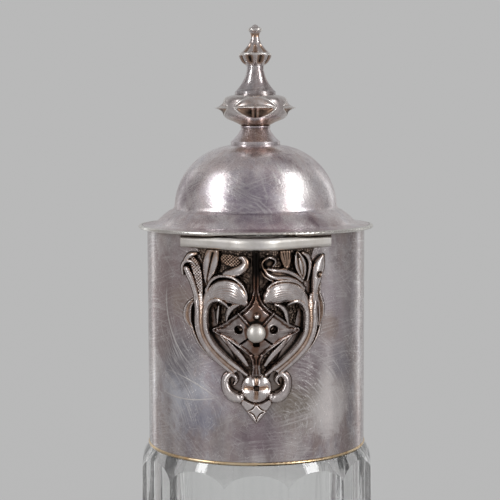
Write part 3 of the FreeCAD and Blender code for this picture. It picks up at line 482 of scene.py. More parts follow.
def smooth_path(points):
    """A Catmull-Rom curve through points of any number of values."""
    per_span = 14
    points = np.array(points, float)
    if len(points) == 1:
        return points
    padded = np.vstack([2 * points[0] - points[1], points, 2 * points[-1] - points[-2]])
    share = np.linspace(0, 1, per_span, endpoint=False)[:, None]
    spans = []
    for a, b, c, d in zip(padded, padded[1:], padded[2:], padded[3:]):
        spans.append(0.5 * (2 * b + (c - a) * share + (2 * a - 5 * b + 4 * c - d) * share ** 2
                            + (3 * b - a - 3 * c + d) * share ** 3))
    return np.vstack(spans + [points[-1:]])


# Cast ornament: reliefs drawn as strokes over collar and spout, on a grid seen from the front

STEP = 0.15
HALF_SPREAD = 20.6
LOW, HIGH = 179.0, 226.3
COLLAR_RADIUS = 31.0
PEARL_Z = 205.3
ROSETTE_Z = 189.55
BEAD_X, BEAD_Z = 0.2, 209.4

# A relief starts below its ground at SINK, and its side walls reach up to WALL_SHARE of its height.
SINK = -0.3
WALL_SLOPE = 4.0
WALL_SHARE = 0.35

columns = np.arange(-HALF_SPREAD, HALF_SPREAD + STEP / 2, STEP)
rows = np.arange(LOW, HIGH + STEP / 2, STEP)
grid_x, grid_z = np.meshgrid(columns, rows)


def ground_depth():
    """How far forward collar and spout stand at each point of the grid, in millimetres along Y."""
    trees = []
    for name in ("collar", "spout_shell"):
        mesh = nodes[name].data
        corners = [vertex.co for vertex in mesh.vertices]
        trees.append(BVHTree.FromPolygons(corners, [polygon.vertices for polygon in mesh.polygons]))
    depth = -np.sqrt(np.maximum(COLLAR_RADIUS ** 2 - grid_x ** 2, 0))
    start_y, ahead = -0.1, Vector((0, 1, 0))
    for index in np.ndindex(grid_x.shape):
        start = Vector((grid_x[index] * MM, start_y, grid_z[index] * MM))
        for tree in trees:
            hit = tree.ray_cast(start, ahead)[0]
            if hit is not None:
                depth[index] = min(depth[index], hit.y / MM)
    return depth


# Sections of a stroke: the height from 0 to 1 at a place across it, from -1 to 1

def round_section(side):
    return np.sqrt(np.maximum(1 - side ** 2, 0))


def cup_section(side):
    """Hollow, with a round rim on each side."""
    rim_start, bottom = 0.72, 0.4
    away = np.abs(side)
    hollow = bottom + (1 - bottom) * (away / rim_start) ** 2
    rim = np.sqrt(np.maximum(1 - ((away - rim_start) / (1 - rim_start)) ** 2, 0))
    return np.where(away < rim_start, hollow, rim)


def fold_section(side):
    """Two round halves with a fold between them."""
    away = np.abs(side)
    return np.sqrt(np.maximum(1 - ((away - 0.5) / 0.5) ** 2, 0)) * (0.75 + 0.25 * away)


def flat_section(side):
    bevel = 0.2
    return np.clip((1 - np.abs(side)) / bevel, 0, 1)


def vein_section(side):
    """Round, with shallow lines along it."""
    deep, lines = 0.035, 9
    return round_section(side) * (1 - deep + deep * np.cos(lines * math.pi * side))


# Strokes and shapes

def stroke(points, section):
    """Relief of one stroke over the whole grid; points are (x, z, half width, relief)."""
    margin, wide_pull = 1.5, 0.3
    path = smooth_path(points)
    field = np.full(grid_x.shape, SINK)
    reach = path[:, 2].max() + margin
    near_x = (columns > path[:, 0].min() - reach) & (columns < path[:, 0].max() + reach)
    near_z = (rows > path[:, 1].min() - reach) & (rows < path[:, 1].max() + reach)
    window = np.ix_(near_z, near_x)
    x, z = grid_x[window], grid_z[window]
    gap_x = x[..., None] - path[:, 0]
    gap_z = z[..., None] - path[:, 1]
    nearest = np.argmin(np.hypot(gap_x, gap_z) - wide_pull * path[:, 2], axis=-1)
    gap_x = np.take_along_axis(gap_x, nearest[..., None], -1)[..., 0]
    gap_z = np.take_along_axis(gap_z, nearest[..., None], -1)[..., 0]
    along = np.gradient(path[:, :2], axis=0) if len(path) > 1 else np.array([[0.0, 1.0]])
    turn = along[nearest]
    hand = np.sign(turn[..., 0] * gap_z - turn[..., 1] * gap_x)
    width, high = path[nearest, 2], path[nearest, 3]
    away = np.hypot(gap_x, gap_z)
    side = np.clip(away / width, 0, 1)
    inside = high * (WALL_SHARE + (1 - WALL_SHARE) * section(side * hand))
    outside = high * WALL_SHARE - WALL_SLOPE * (away - width)
    field[window] = np.where(away <= width, inside, outside)
    return np.maximum(field, SINK)


def dotted(field):
    """Close rows of punched dots over a panel."""
    pitch, deep = 0.85, 0.34
    dots = np.cos(2 * math.pi * grid_x / pitch) * np.cos(2 * math.pi * grid_z / pitch)
    return np.where(field > 0, field + deep * dots, field)


def rayed(field, x, z):
    """Fine lines that fan out from a point over a panel."""
    lines, deep = 44, 0.16
    angle = np.arctan2(grid_x - x, grid_z - z)
    return np.where(field > 0, field + deep * np.cos(lines * angle), field)


def pierced(field, x, z, radius, bottom):
    """A round hole with sloping walls."""
    wall_reach = 0.5
    away = np.hypot(grid_x - x, grid_z - z)
    wall = bottom + WALL_SLOPE * np.maximum(away - radius, 0)
    return np.where(away < radius + wall_reach, np.minimum(field, wall), field)


def mirrored(field):
    return field[:, ::-1]


def inset_from(half_width):
    """Distance inside the edge of a symmetric shape, from its half width at each row."""
    slope = np.gradient(half_width, rows)
    return (half_width[:, None] - np.abs(grid_x)) / np.sqrt(1 + slope[:, None] ** 2)


def shape_field(inset, relief):
    """Relief of a flat shape from the distance inside its edge."""
    bevel = 0.35
    inside = relief * (WALL_SHARE + (1 - WALL_SHARE) * np.clip(inset / bevel, 0, 1))
    outside = relief * WALL_SHARE + WALL_SLOPE * inset
    return np.maximum(np.where(inset >= 0, inside, outside), SINK)


STEM = [
    (flat_section, [(-15.0, 213.6, 0.9, 1.7), (-14.6, 207.0, 1.2, 2.4), (-14.0, 203.6, 1.2, 2.4),
                    (-12.3, 200.4, 1.2, 2.3), (-9.2, 197.2, 1.1, 2.0), (-5.8, 194.4, 0.9, 1.6)]),
    (round_section, [(-16.1, 213.8, 0.70, 2.2), (-15.7, 210.1, 0.85, 2.8), (-15.7, 206.9, 0.9, 3.0),
                     (-15.1, 203.5, 0.9, 3.0), (-13.4, 200.1, 0.85, 2.8), (-10.2, 196.7, 0.78, 2.5),
                     (-7.0, 194.0, 0.62, 2.2), (-5.4, 192.5, 0.42, 1.8)]),
    (round_section, [(-12.9, 212.6, 0.75, 2.9), (-13.4, 210.4, 0.85, 3.2), (-13.6, 207.1, 0.92, 3.4),
                     (-13.1, 203.9, 0.92, 3.4), (-11.3, 200.8, 0.9, 3.3), (-8.3, 197.7, 0.85, 3.0),
                     (-4.6, 194.7, 0.7, 2.6), (-2.7, 193.3, 0.5, 2.0)]),
    (round_section, [(-17.3, 205.7, 0.26, 1.5), (-16.5, 203.1, 0.37, 1.8), (-15.0, 200.4, 0.39, 1.8),
                     (-12.7, 197.9, 0.31, 1.5), (-10.7, 196.1, 0.21, 1.2)]),
    (flat_section, [(-9.4, 203.4, 0.5, 0.9), (-6.9, 200.8, 0.8, 1.2), (-4.2, 198.2, 0.8, 1.2),
                    (-2.4, 195.9, 0.45, 1.0)]),
]


def left_scroll():
    """Stem, hood leaf and the spray of leaves under the lip, on the left."""
    hood = [
        (vein_section, [(-13.4, 210.0, 0.68, 2.8), (-12.9, 212.2, 1.31, 3.3), (-11.5, 214.3, 2.09, 3.8),
                        (-9.2, 215.5, 2.87, 4.2), (-6.5, 215.5, 3.13, 4.3), (-4.4, 214.3, 2.35, 3.8),
                        (-3.1, 213.1, 1.17, 2.8)]),
        (round_section, [(-13.3, 215.3, 0.42, 2.6), (-12.0, 217.9, 0.44, 3.0), (-10.0, 219.4, 0.44, 3.2),
                         (-7.5, 219.7, 0.44, 3.2), (-5.3, 219.1, 0.44, 3.2), (-3.6, 217.5, 0.44, 3.0),
                         (-2.5, 215.2, 0.39, 2.6), (-2.5, 213.3, 0.34, 2.2)]),
        (round_section, [(-13.6, 209.5, 0.63, 3.0), (-12.9, 211.6, 0.73, 3.5), (-11.6, 212.9, 0.78, 3.9),
                         (-9.9, 213.2, 0.76, 3.9), (-8.3, 212.4, 0.6, 3.4), (-7.1, 211.2, 0.37, 2.4)]),
        (round_section, [(-3.4, 212.7, 0.35, 2.0), (-5.0, 212.4, 0.75, 2.6), (-6.6, 211.2, 0.8, 2.6),
                         (-7.5, 209.6, 0.65, 2.3), (-7.9, 207.7, 0.35, 1.6)]),
        (round_section, [(-9.9, 211.4, 0.3, 1.6), (-10.3, 209.0, 0.5, 1.6), (-10.4, 206.6, 0.3, 1.3)]),
    ]
    spray = [
        (round_section, [(-15.2, 210.1, 0.57, 2.2), (-15.9, 213.5, 0.73, 2.4), (-16.8, 216.7, 0.78, 2.5),
                         (-17.9, 219.3, 0.89, 2.6), (-18.7, 220.9, 0.84, 2.6)]),
        (round_section, [(-19.7, 219.3, 0.34, 1.8), (-19.8, 221.3, 0.42, 2.1), (-19.0, 222.7, 0.47, 2.4),
                         (-17.3, 222.9, 0.47, 2.4), (-16.1, 221.8, 0.37, 2.1)]),
        (round_section, [(-15.9, 225.0, 0.47, 1.6), (-17.6, 224.5, 0.73, 2.0), (-18.8, 223.2, 0.57, 2.0)]),
        (fold_section, [(-13.1, 216.8, 0.21, 1.6), (-12.9, 219.0, 1.1, 2.0), (-12.3, 221.8, 1.98, 2.2),
                        (-11.8, 224.0, 2.09, 2.0), (-11.4, 225.5, 1.83, 1.8)]),
        (round_section, [(-9.5, 219.3, 0.31, 1.8), (-7.7, 220.2, 0.94, 2.6), (-5.7, 220.8, 1.2, 3.0),
                         (-3.7, 221.8, 1.25, 3.1), (-2.6, 223.3, 1.1, 2.8), (-3.2, 224.6, 0.78, 2.4),
                         (-4.2, 224.8, 0.42, 2.1)]),
        (round_section, [(-1.7, 224.2, 0.34, 1.4)]),
        (cup_section, [(-16.6, 212.8, 0.31, 1.4), (-18.0, 210.9, 0.84, 1.9), (-18.5, 208.8, 1.1, 2.1),
                       (-18.3, 206.9, 0.94, 1.9), (-17.3, 204.9, 0.31, 1.5)]),
    ]
    panels = [
        [(-14.7, 212.1, 0.39, 1.2), (-14.9, 215.4, 0.78, 1.5), (-15.4, 218.8, 1.17, 1.6),
         (-16.1, 221.5, 1.31, 1.6), (-16.9, 223.4, 0.91, 1.5)],
        [(-8.0, 224.1, 1.44, 1.2), (-6.2, 223.8, 1.7, 1.3), (-4.7, 223.8, 1.31, 1.3)],
    ]
    fields = [stroke(points, section) for section, points in STEM + hood + spray]
    fields += [dotted(stroke(points, flat_section)) for points in panels]
    return np.maximum.reduce(fields)


def right_scroll():
    """The other scroll: the same stem, with leaves that the carver drew differently."""
    hood = [
        (vein_section, [(13.4, 209.6, 0.7, 2.8), (12.6, 212.2, 1.5, 3.4), (10.9, 214.4, 2.3, 3.9),
                        (8.4, 215.4, 2.74, 4.2), (5.8, 215.3, 2.74, 4.2), (3.7, 214.5, 1.96, 3.6),
                        (2.6, 213.6, 0.91, 2.8)]),
        (round_section, [(2.9, 216.5, 0.37, 2.4), (4.4, 218.0, 0.42, 2.8), (6.5, 218.5, 0.42, 3.0),
                         (8.9, 218.3, 0.42, 3.0), (11.1, 217.5, 0.42, 2.8), (12.9, 215.8, 0.37, 2.4)]),
        (round_section, [(8.5, 212.0, 0.37, 2.6), (9.9, 212.6, 0.6, 3.4), (11.4, 212.6, 0.7, 3.8),
                         (12.7, 211.5, 0.73, 3.6), (13.4, 209.7, 0.68, 3.2)]),
        (round_section, [(5.0, 212.3, 0.35, 2.0), (6.5, 211.7, 0.6, 2.5), (7.7, 210.3, 0.7, 2.6),
                         (8.2, 208.5, 0.6, 2.3), (8.5, 206.8, 0.35, 1.6)]),
    ]
    spray = [
        (flat_section, [(3.1, 221.1, 0.78, 1.5), (5.5, 220.3, 1.1, 1.8), (8.1, 219.9, 1.04, 1.8),
                        (10.8, 218.6, 0.65, 1.5)]),
        (round_section, [(3.1, 221.9, 0.39, 2.2), (5.2, 221.4, 0.57, 2.8), (7.7, 221.0, 0.63, 3.0),
                         (10.0, 219.9, 0.57, 2.8), (12.4, 217.8, 0.34, 2.2)]),
        (round_section, [(2.2, 221.8, 0.37, 2.2), (3.2, 220.4, 0.57, 2.7), (5.2, 219.5, 0.63, 3.0),
                         (7.8, 219.2, 0.6, 3.0), (10.3, 218.3, 0.47, 2.6), (12.2, 217.0, 0.26, 2.0)]),
        (round_section, [(1.2, 221.5, 0.26, 1.6), (2.2, 220.0, 0.31, 1.8), (3.6, 219.0, 0.31, 1.8),
                         (5.5, 218.2, 0.23, 1.6)]),
        (round_section, [(1.9, 222.0, 0.23, 2.0), (1.6, 223.3, 0.29, 2.3), (2.2, 224.3, 0.31, 2.4),
                         (3.6, 224.9, 0.34, 2.5), (4.9, 224.3, 0.31, 2.4), (5.1, 223.4, 0.29, 2.2),
                         (4.4, 222.5, 0.23, 1.8)]),
        (flat_section, [(3.4, 223.3, 1.31, 0.8)]),
        (cup_section, [(12.6, 218.4, 0.23, 1.6), (12.2, 220.4, 1.17, 2.2), (11.7, 222.6, 1.57, 2.4),
                       (11.2, 224.5, 0.99, 2.2), (10.9, 225.5, 0.37, 1.8)]),
        (round_section, [(12.3, 219.8, 0.31, 1.8), (12.0, 222.0, 0.73, 2.1), (11.5, 223.9, 0.34, 1.8)]),
        (round_section, [(12.4, 225.4, 0.42, 1.7), (13.7, 224.4, 0.63, 2.1), (14.4, 222.6, 0.57, 2.1),
                         (14.2, 220.2, 0.44, 1.9), (13.7, 217.8, 0.29, 1.6)]),
        (round_section, [(15.5, 212.4, 0.63, 2.5), (15.8, 215.9, 0.89, 2.6), (16.3, 219.0, 1.36, 2.7),
                         (16.9, 221.7, 1.51, 2.5), (17.9, 224.2, 0.52, 1.8)]),
        (cup_section, [(17.1, 216.7, 0.31, 1.7), (16.8, 214.1, 0.5, 2.0), (17.4, 211.4, 0.8, 2.1),
                       (17.5, 208.7, 0.8, 2.0), (17.0, 205.7, 0.31, 1.6)]),
    ]
    panel = [(8.1, 222.3, 0.91, 1.2), (7.9, 224.2, 1.44, 1.4), (7.7, 225.6, 1.57, 1.4)]
    rays_x, rays_z = 8.2, 220.8
    eye_x, eye_z, eye_radius, eye_floor = 17.1, 219.3, 0.6, 0.6
    stem = [(section, [(-x, z, width, high) for x, z, width, high in points]) for section, points in STEM]
    fields = [stroke(points, section) for section, points in stem + hood + spray]
    fields.append(rayed(stroke(panel, flat_section), rays_x, rays_z))
    return pierced(np.maximum.reduce(fields), eye_x, eye_z, eye_radius, eye_floor)


def plate_field():
    """The pierced plate: four arms with hollow sides, a raised rim, ringed holes, a bead, slots and bars."""
    relief, bottom = 1.4, 193.0
    # Height and half width, from the stalk at the top down
    outline = np.array([
        (226.3, 0.9), (216.0, 0.85), (214.0, 1.4), (212.5, 2.25), (211.0, 3.7), (209.5, 5.6),
        (208.2, 7.2), (207.0, 8.6), (206.0, 10.2), (205.2, 11.8), (204.4, 11.8), (203.6, 10.6),
        (202.2, 7.5), (200.1, 4.0), (198.6, 2.1), (197.2, 1.35), (195.4, 1.1), (193.0, 1.4)])
    inset = inset_from(np.interp(rows, outline[::-1, 0], outline[::-1, 1]))
    inset = np.where(grid_z < bottom, -1.0, inset)
    rim_high, rim_in, rim_width = 0.35, 0.32, 0.16
    groove_deep, groove_in, groove_width = 0.45, 0.95, 0.25
    dome_high, dome_reach = 0.5, 4.0
    rim = rim_high * swell(inset, rim_in, rim_width)
    groove = groove_deep * swell(inset, groove_in, groove_width)
    dome = dome_high * np.clip(inset / dome_reach, 0, 1)
    field = shape_field(inset, relief)
    field = np.where(field > 0, field + rim - groove + dome, field)
    hole_x, hole_z, hole_radius = 4.6, 205.6, 0.7
    ring_high, ring_radius, ring_width = 0.35, 1.05, 0.29
    slot_floor = 0.2
    for side in (-1, 1):
        ring = ring_high * swell(np.hypot(grid_x - side * hole_x, grid_z - hole_z), ring_radius, ring_width)
        field = pierced(np.where(field > 0, field + ring, field), side * hole_x, hole_z, hole_radius, SINK)
    field = np.maximum(field, stroke([(BEAD_X, BEAD_Z, 0.95, 3.2)], round_section))
    for side in (-1, 1):
        slot = stroke([(side * 4.2, 201.6, 0.3, 1.0), (side * 1.9, 203.5, 0.3, 1.0)], flat_section) > 0.9
        field = np.where(slot & (field > slot_floor), slot_floor, field)
        bar = stroke([(side * 4.6, 210.0, 0.42, 2.9), (side * 1.8, 207.1, 0.42, 3.1)], round_section)
        field = np.maximum(field, bar)
    notch_half, notch_low, notch_high, notch_floor = 0.85, 201.1, 203.0, 0.15
    notch = (np.abs(grid_x) < notch_half) & (grid_z > notch_low) & (grid_z < notch_high)
    return np.where(notch, notch_floor, field)


def volute_field():
    """The left volute: a band that hooks inwards at its top and swells into a lobe below."""
    return stroke([(-5.9, 190.4, 0.35, 1.7), (-5.3, 191.4, 0.5, 2.1), (-5.7, 192.6, 0.65, 2.4),
                   (-6.9, 193.1, 0.8, 2.6), (-8.0, 192.1, 0.95, 2.7), (-8.2, 190.3, 1.1, 2.9),
                   (-7.6, 188.5, 1.3, 3.1), (-6.4, 187.3, 1.55, 3.2), (-5.1, 186.8, 1.5, 3.2),
                   (-4.3, 187.0, 1.1, 2.8)], round_section)


def drop_field():
    """The lozenge drop with its engraved four-pointed star, cut away round the rosette."""
    relief, tip, top, half_top = 1.8, 179.6, 186.2, 4.1
    rosette_clear = 4.3
    star_z, star_size, star_edge, groove_deep, groove_width = 183.3, 2.6, 1.15, 0.7, 0.07
    widths = np.interp(rows, [tip, 181.2, 183.2, 185.0, top], [0.0, 1.35, 2.8, half_top, half_top + 0.1])
    inset = np.minimum(inset_from(widths), np.hypot(grid_x, grid_z - ROSETTE_Z) - rosette_clear)
    inset = np.where((grid_z < tip) | (grid_z > top), -1.0, inset)
    field = shape_field(inset, relief)
    reach = np.sqrt(np.abs(grid_x) / star_size) + np.sqrt(np.abs(grid_z - star_z) / star_size)
    groove = groove_deep * swell(reach, star_edge, groove_width)
    return np.where(field > 0.5, field - groove, field)


def blurred(field, radius):
    """Mean over a square window, twice."""
    count = int(round(radius / STEP))
    kernel = np.ones(2 * count + 1) / (2 * count + 1)
    for _ in range(2):
        for axis in (0, 1):
            field = np.apply_along_axis(lambda line: np.convolve(line, kernel, mode="same"), axis, field)
    return field


def relief_piece(name, field, depth, hollow_and_shade, material, replaced):
    """A closed casting whose face follows the field in front of collar and spout."""
    back = 0.55
    corner = np.maximum.reduce([field[:-1, :-1], field[1:, :-1], field[:-1, 1:], field[1:, 1:]])
    cells = np.argwhere(corner > SINK + 0.01)
    number = -np.ones(field.shape, int)
    for row, column in ((0, 0), (0, 1), (1, 1), (1, 0)):
        number[cells[:, 0] + row, cells[:, 1] + column] = 0
    used = np.argwhere(number == 0)
    number[used[:, 0], used[:, 1]] = np.arange(len(used))
    place = used[:, 0], used[:, 1]
    front = np.column_stack([grid_x[place], depth[place] - field[place], grid_z[place]])
    rear = np.column_stack([grid_x[place], depth[place] + back, grid_z[place]])
    points = np.vstack([front, rear]) * MM
    count = len(used)
    a = number[cells[:, 0], cells[:, 1]]
    b = number[cells[:, 0], cells[:, 1] + 1]
    c = number[cells[:, 0] + 1, cells[:, 1] + 1]
    d = number[cells[:, 0] + 1, cells[:, 1]]
    faces = np.column_stack([a, b, c, d]).tolist()
    faces += (np.column_stack([d, c, b, a]) + count).tolist()
    # Side walls stand on the outline, which is the edges that only one cell has.
    outline = {}
    for loop in ((a, b), (b, c), (c, d), (d, a)):
        for first, second in zip(*loop):
            if (second, first) in outline:
                del outline[(second, first)]
            else:
                outline[(first, second)] = True
    faces += [(second, first, first + count, second + count) for first, second in outline]
    item = new_piece(name, points.tolist(), [list(map(int, face)) for face in faces], material,
                     "jug", replaced)
    set_hollow_and_shade(item, np.concatenate([hollow_and_shade[place], np.ones(count)]))


def rosette_scoop(x, z, share):
    """Depth, 0 to about 1, of the rosette's four scoops; share is 0 in its middle and 1 at its edge."""
    start_width, widening, run_in_length = 0.34, 0.19, 0.9
    deep = 0.0
    for turn in (0, math.pi / 2, math.pi, 3 * math.pi / 2):
        along = x * math.cos(turn) + z * math.sin(turn)
        beside = x * math.sin(turn) - z * math.cos(turn)
        if along > 0:
            run_in = min(along / run_in_length, 1.0)
            run_out = min(1.0, 4 * (1.02 - share))
            deep += swell(beside, 0, start_width + widening * along) * run_in * run_out
    return deep


def rosette(material):
    """A domed boss with four scoops and a sunk square centre."""
    radius, edge, high, back = 4.05, 0.6, 2.8, 0.5
    scoop_deep, square_half, square_deep = 0.95, 0.75, 0.4
    rings, around = 44, 120
    turns = [2 * math.pi * step / around for step in range(around)]
    points, hollow_and_shade = [], []
    for ring in range(rings + 1):
        share = ring / rings
        dome = edge + (high - edge) * math.sqrt(max(1 - share ** 2.2, 0))
        for turn in turns:
            x, z = radius * share * math.cos(turn), radius * share * math.sin(turn)
            scoop = rosette_scoop(x, z, share)
            sunk = 1.0 if max(abs(x), abs(z)) < square_half else 0.0
            rise = dome - scoop_deep * scoop - square_deep * sunk
            points.append((x, -COLLAR_RADIUS - rise, ROSETTE_Z + z))
            hollow_and_shade.append(max(0.62 * scoop, sunk) - 0.2)
    base = len(points)
    for turn in turns:
        points.append((radius * math.cos(turn), -COLLAR_RADIUS + back, ROSETTE_Z + radius * math.sin(turn)))
        hollow_and_shade.append(1.0)
    faces = []
    for low in range(0, base, around):
        for step in range(around):
            following = (step + 1) % around
            faces.append((low + step, low + following, low + around + following, low + around + step))
    faces.append(tuple(range(base + around - 1, base - 1, -1)))
    metres = [[MM * value for value in point] for point in points]
    item = new_piece("rosette", metres, faces, material, "jug", ("spout_rosette",))
    set_hollow_and_shade(item, hollow_and_shade)


def ornament_hollow_and_shade(whole):
    """How deep each place lies among the castings, with painted shade under the lip, down the middle of the
    plate and round the pearl, and the bead painted lighter.
    """
    lip_from, lip_over, low_relief, relief_over = 219.5, 5.0, 1.9, 0.6
    middle_from, middle_over, middle_width = 214.0, 7.0, 2.5
    spine_low, spine_high, spine_width = 196, 215, 2.2
    pearl_gap, pearl_gap_width, bead_width = 2.7, 0.5, math.sqrt(0.6)
    broad = np.clip((blurred(whole, 0.7) - whole) / 1.2, -1, 1)
    fine = np.clip((blurred(whole, 0.3) - whole) / 0.3, 0, 0.9)
    low_places = np.clip((low_relief - whole) / relief_over, 0, 1)
    under_lip = np.clip((grid_z - lip_from) / lip_over, 0, 1) * low_places
    middle = np.clip((grid_z - middle_from) / middle_over, 0, 1) * swell(grid_x, 0, middle_width)
    spine = swell(grid_x, 0, spine_width) * (grid_z > spine_low) * (grid_z < spine_high)
    round_pearl = swell(np.hypot(grid_x, grid_z - PEARL_Z), pearl_gap, pearl_gap_width)
    bead = swell(np.hypot(grid_x - BEAD_X, grid_z - BEAD_Z), 0, bead_width)
    # Painted shade under the lip, down the middle of the plate and round the pearl; the bead is painted
    # lighter.
    painted_shading = 0.58 * under_lip + 0.8 * middle + 0.34 * spine + 0.5 * round_pearl - 0.9 * bead
    return np.clip(np.maximum(broad, fine) + painted_shading, -1, 1)


def ornament(material, leaf, bright):
    depth = ground_depth()
    volute = volute_field()
    pieces = [
        ("scroll_left", left_scroll(), "spout_scroll_left", leaf),
        ("scroll_right", right_scroll(), "spout_scroll_right", leaf),
        ("cross_plate", plate_field(), "spout_cross_plate", material),
        ("volute_left", volute, "spout_volute_left", bright),
        ("volute_right", mirrored(volute), "spout_volute_right", bright),
        ("drop", drop_field(), "spout_drop", bright),
    ]
    whole = np.maximum.reduce([field for _, field, _, _ in pieces])
    hollow_and_shade = ornament_hollow_and_shade(np.maximum(whole, 0))
    for name, field, node, finish in pieces:
        relief_piece(name, field, depth, hollow_and_shade, finish, (node,))
    rosette(bright)


# Finial: the large knop with its four points, the lobed bud and the button on the tip

def polar_piece(name, levels, radius, hollow_and_shade, material, replaced):
    """A piece round the jug's axis; radius and the hollow-and-shade values are arrays over levels and angles,
    the front first.
    """
    around = radius.shape[1]
    turn = np.linspace(0, 2 * math.pi, around, endpoint=False)
    height = np.repeat(levels[:, None], around, axis=1)
    x, y = radius * np.sin(turn), -radius * np.cos(turn)
    points = np.column_stack([x.ravel(), y.ravel(), height.ravel()]) * MM
    index = np.arange(radius.size).reshape(radius.shape)
    following = np.roll(index, -1, axis=1)
    faces = np.stack([index[:-1], following[:-1], following[1:], index[1:]], -1).reshape(-1, 4).tolist()
    faces += [index[0][::-1].tolist(), index[-1].tolist()]
    item = new_piece(name, points.tolist(), faces, material, "lid", replaced)
    set_hollow_and_shade(item, hollow_and_shade.ravel())


def profile(points, levels):
    """Radius at each level of a smooth curve through (radius, height) points, given from below."""
    path = smooth_path(points)
    return np.interp(levels, path[:, 1], path[:, 0])[:, None]


def knop(material):
    """A drum-shaped knop with four points: a ridge with a hollow facet above and below it, almond-shaped."""
    levels = np.linspace(259.0, 267.7, 90)
    drum = profile([(3.95, 259.0), (5.7, 259.9), (8.2, 261.0), (9.4, 262.0), (9.75, 263.6), (9.65, 265.2),
                    (9.05, 266.4), (7.8, 267.2), (5.9, 267.7)], levels)
    ridge_z, tip, waist = 264.0, 11.7, 9.75
    facet_height, facet_end, facet_deep = 2.9, 0.82, 0.4
    rim_high, rim_out, rim_width = 0.15, 0.25, 0.3
    eighth = math.pi / 4
    turn = np.linspace(0, 2 * math.pi, 320, endpoint=False)
    off_point = np.abs((turn + eighth) % (2 * eighth) - eighth)
    share = off_point / eighth
    beside_point = share < facet_end
    ridge = waist + (tip - waist) * np.clip(1 - share / facet_end, 0, 1) ** 2
    reach = np.maximum(facet_height * (1 - (share / facet_end) ** 2), 0.05)
    rise = levels[:, None] - ridge_z
    climb = np.clip(np.abs(rise) / reach, 0, 1)
    in_facet = (climb < 1) & beside_point
    rim = swell(np.abs(rise), reach + rim_out, rim_width) * beside_point
    radius = drum + (ridge - drum) * (1 - climb) ** 5 + rim_high * rim
    radius = radius - np.where(in_facet, facet_deep * np.sin(math.pi * climb), 0)
    # Painted shade on the lower facets and the knop's underside, and painted highlights along the ridge and
    # the rim round each facet; the upper facets are a little darker.
    streaks = swell(off_point, 0.07, 0.03)
    tone = np.where(rise < 0, 0.75 * (1 - share ** 2) - 0.5 * streaks, 0.15)
    hollow_and_shade = np.where(in_facet, tone, 0) - 0.45 * rim - 0.7 * swell(rise, 0, 0.3) * beside_point
    hollow_and_shade = hollow_and_shade + 0.3 * np.clip((-2.2 - rise) / 1.5, 0, 1)
    polar_piece("knop", levels, radius, hollow_and_shade, material, ("finial_knop", "finial_knop_points"))


def bud(material):
    """A bud with a sharp waist line, eight petals with seams above it and eight hollow lobes below."""
    levels = np.linspace(275.8, 282.9, 70)
    body = profile([(2.4, 275.8), (3.6, 276.7), (4.45, 278.0), (4.6, 279.1), (3.7, 279.9), (2.5, 281.2),
                    (1.7, 282.3), (1.45, 282.9)], levels)
    lobes_from, waist_z, petals_until = 276.0, 279.1, 282.4
    petals, hollow_deep, seam_deep = 8, 0.75, 0.35
    turn = np.linspace(0, 2 * math.pi, 256, endpoint=False)
    height = levels[:, None]
    below = np.clip((waist_z - height) / 0.6, 0, 1) * np.clip((height - lobes_from) / 0.8, 0, 1)
    above = np.clip((height - waist_z) / 0.5, 0, 1) * np.clip((petals_until - height) / 1.2, 0, 1)
    hollow = below * np.sin(petals / 2 * turn) ** 2
    seam = above * np.abs(np.cos(petals / 2 * turn)) ** 3
    radius = body - hollow_deep * hollow - seam_deep * seam
    # Painted highlight along the waist line; the hollows and seams are darker.
    hollow_and_shade = 0.75 * hollow + 0.5 * seam - 0.8 * swell(height, waist_z, 0.3)
    polar_piece("bud", levels, radius, hollow_and_shade, material, ("finial_bud",))


def button(material):
    """The small flared button on the tip: a neck, a disc and a low cap."""
    levels = np.linspace(282.9, 287.4, 60)
    shape = profile([(1.45, 282.9), (1.25, 283.7), (1.15, 284.4), (1.45, 285.1), (1.95, 285.7), (2.0, 286.1),
                     (1.55, 286.5), (1.0, 286.8), (0.75, 287.1), (0.3, 287.4)], levels)
    neck_z, edge_z, around = 284.4, 285.9, 96
    # Painted shade on the neck under the disc, and a painted highlight on the disc's edge.
    tone = 0.5 * swell(levels, neck_z, 0.6) - 0.5 * swell(levels, edge_z, 0.4)
    radius = np.repeat(shape, around, axis=1)
    hollow_and_shade = np.repeat(tone[:, None], around, axis=1)
    polar_piece("button", levels, radius, hollow_and_shade, material, ("finial_button",))


# Build

camera()
world()
floor()
softbox("softbox_right", azimuth=62, elevation=28, distance=1.1, width=0.25, height=1.10, power=4.9, lean=-24)
softbox("softbox_left", azimuth=-62, elevation=28, distance=1.1, width=0.18, height=1.10, power=3.8, lean=24)
for name, azimuth in (("strip_right", 138), ("strip_left", -138)):
    softbox(name, azimuth, elevation=4, distance=1.0, width=0.12, height=0.9, power=0.24)

# Tones are dark, dim, plain, pale, warm and cool. Patches of tarnish and painted light, rubs and scratches
# are placed in millimetres.
collar_tones = [colour(0.28, 0.23, 0.245), colour(0.44, 0.385, 0.395), colour(0.58, 0.545, 0.545),
                colour(0.78, 0.745, 0.74), colour(0.44, 0.345, 0.315), colour(0.58, 0.60, 0.66)]
lid_tones = [colour(0.34, 0.255, 0.29), colour(0.60, 0.515, 0.54), colour(0.80, 0.74, 0.755),
             colour(0.98, 0.93, 0.94), colour(0.62, 0.48, 0.45), colour(0.80, 0.80, 0.88)]
lip_tones = [colour(0.74, 0.71, 0.65), colour(0.80, 0.775, 0.72), colour(0.84, 0.82, 0.77),
             colour(0.90, 0.88, 0.84), colour(0.77, 0.73, 0.66), colour(0.84, 0.84, 0.82)]
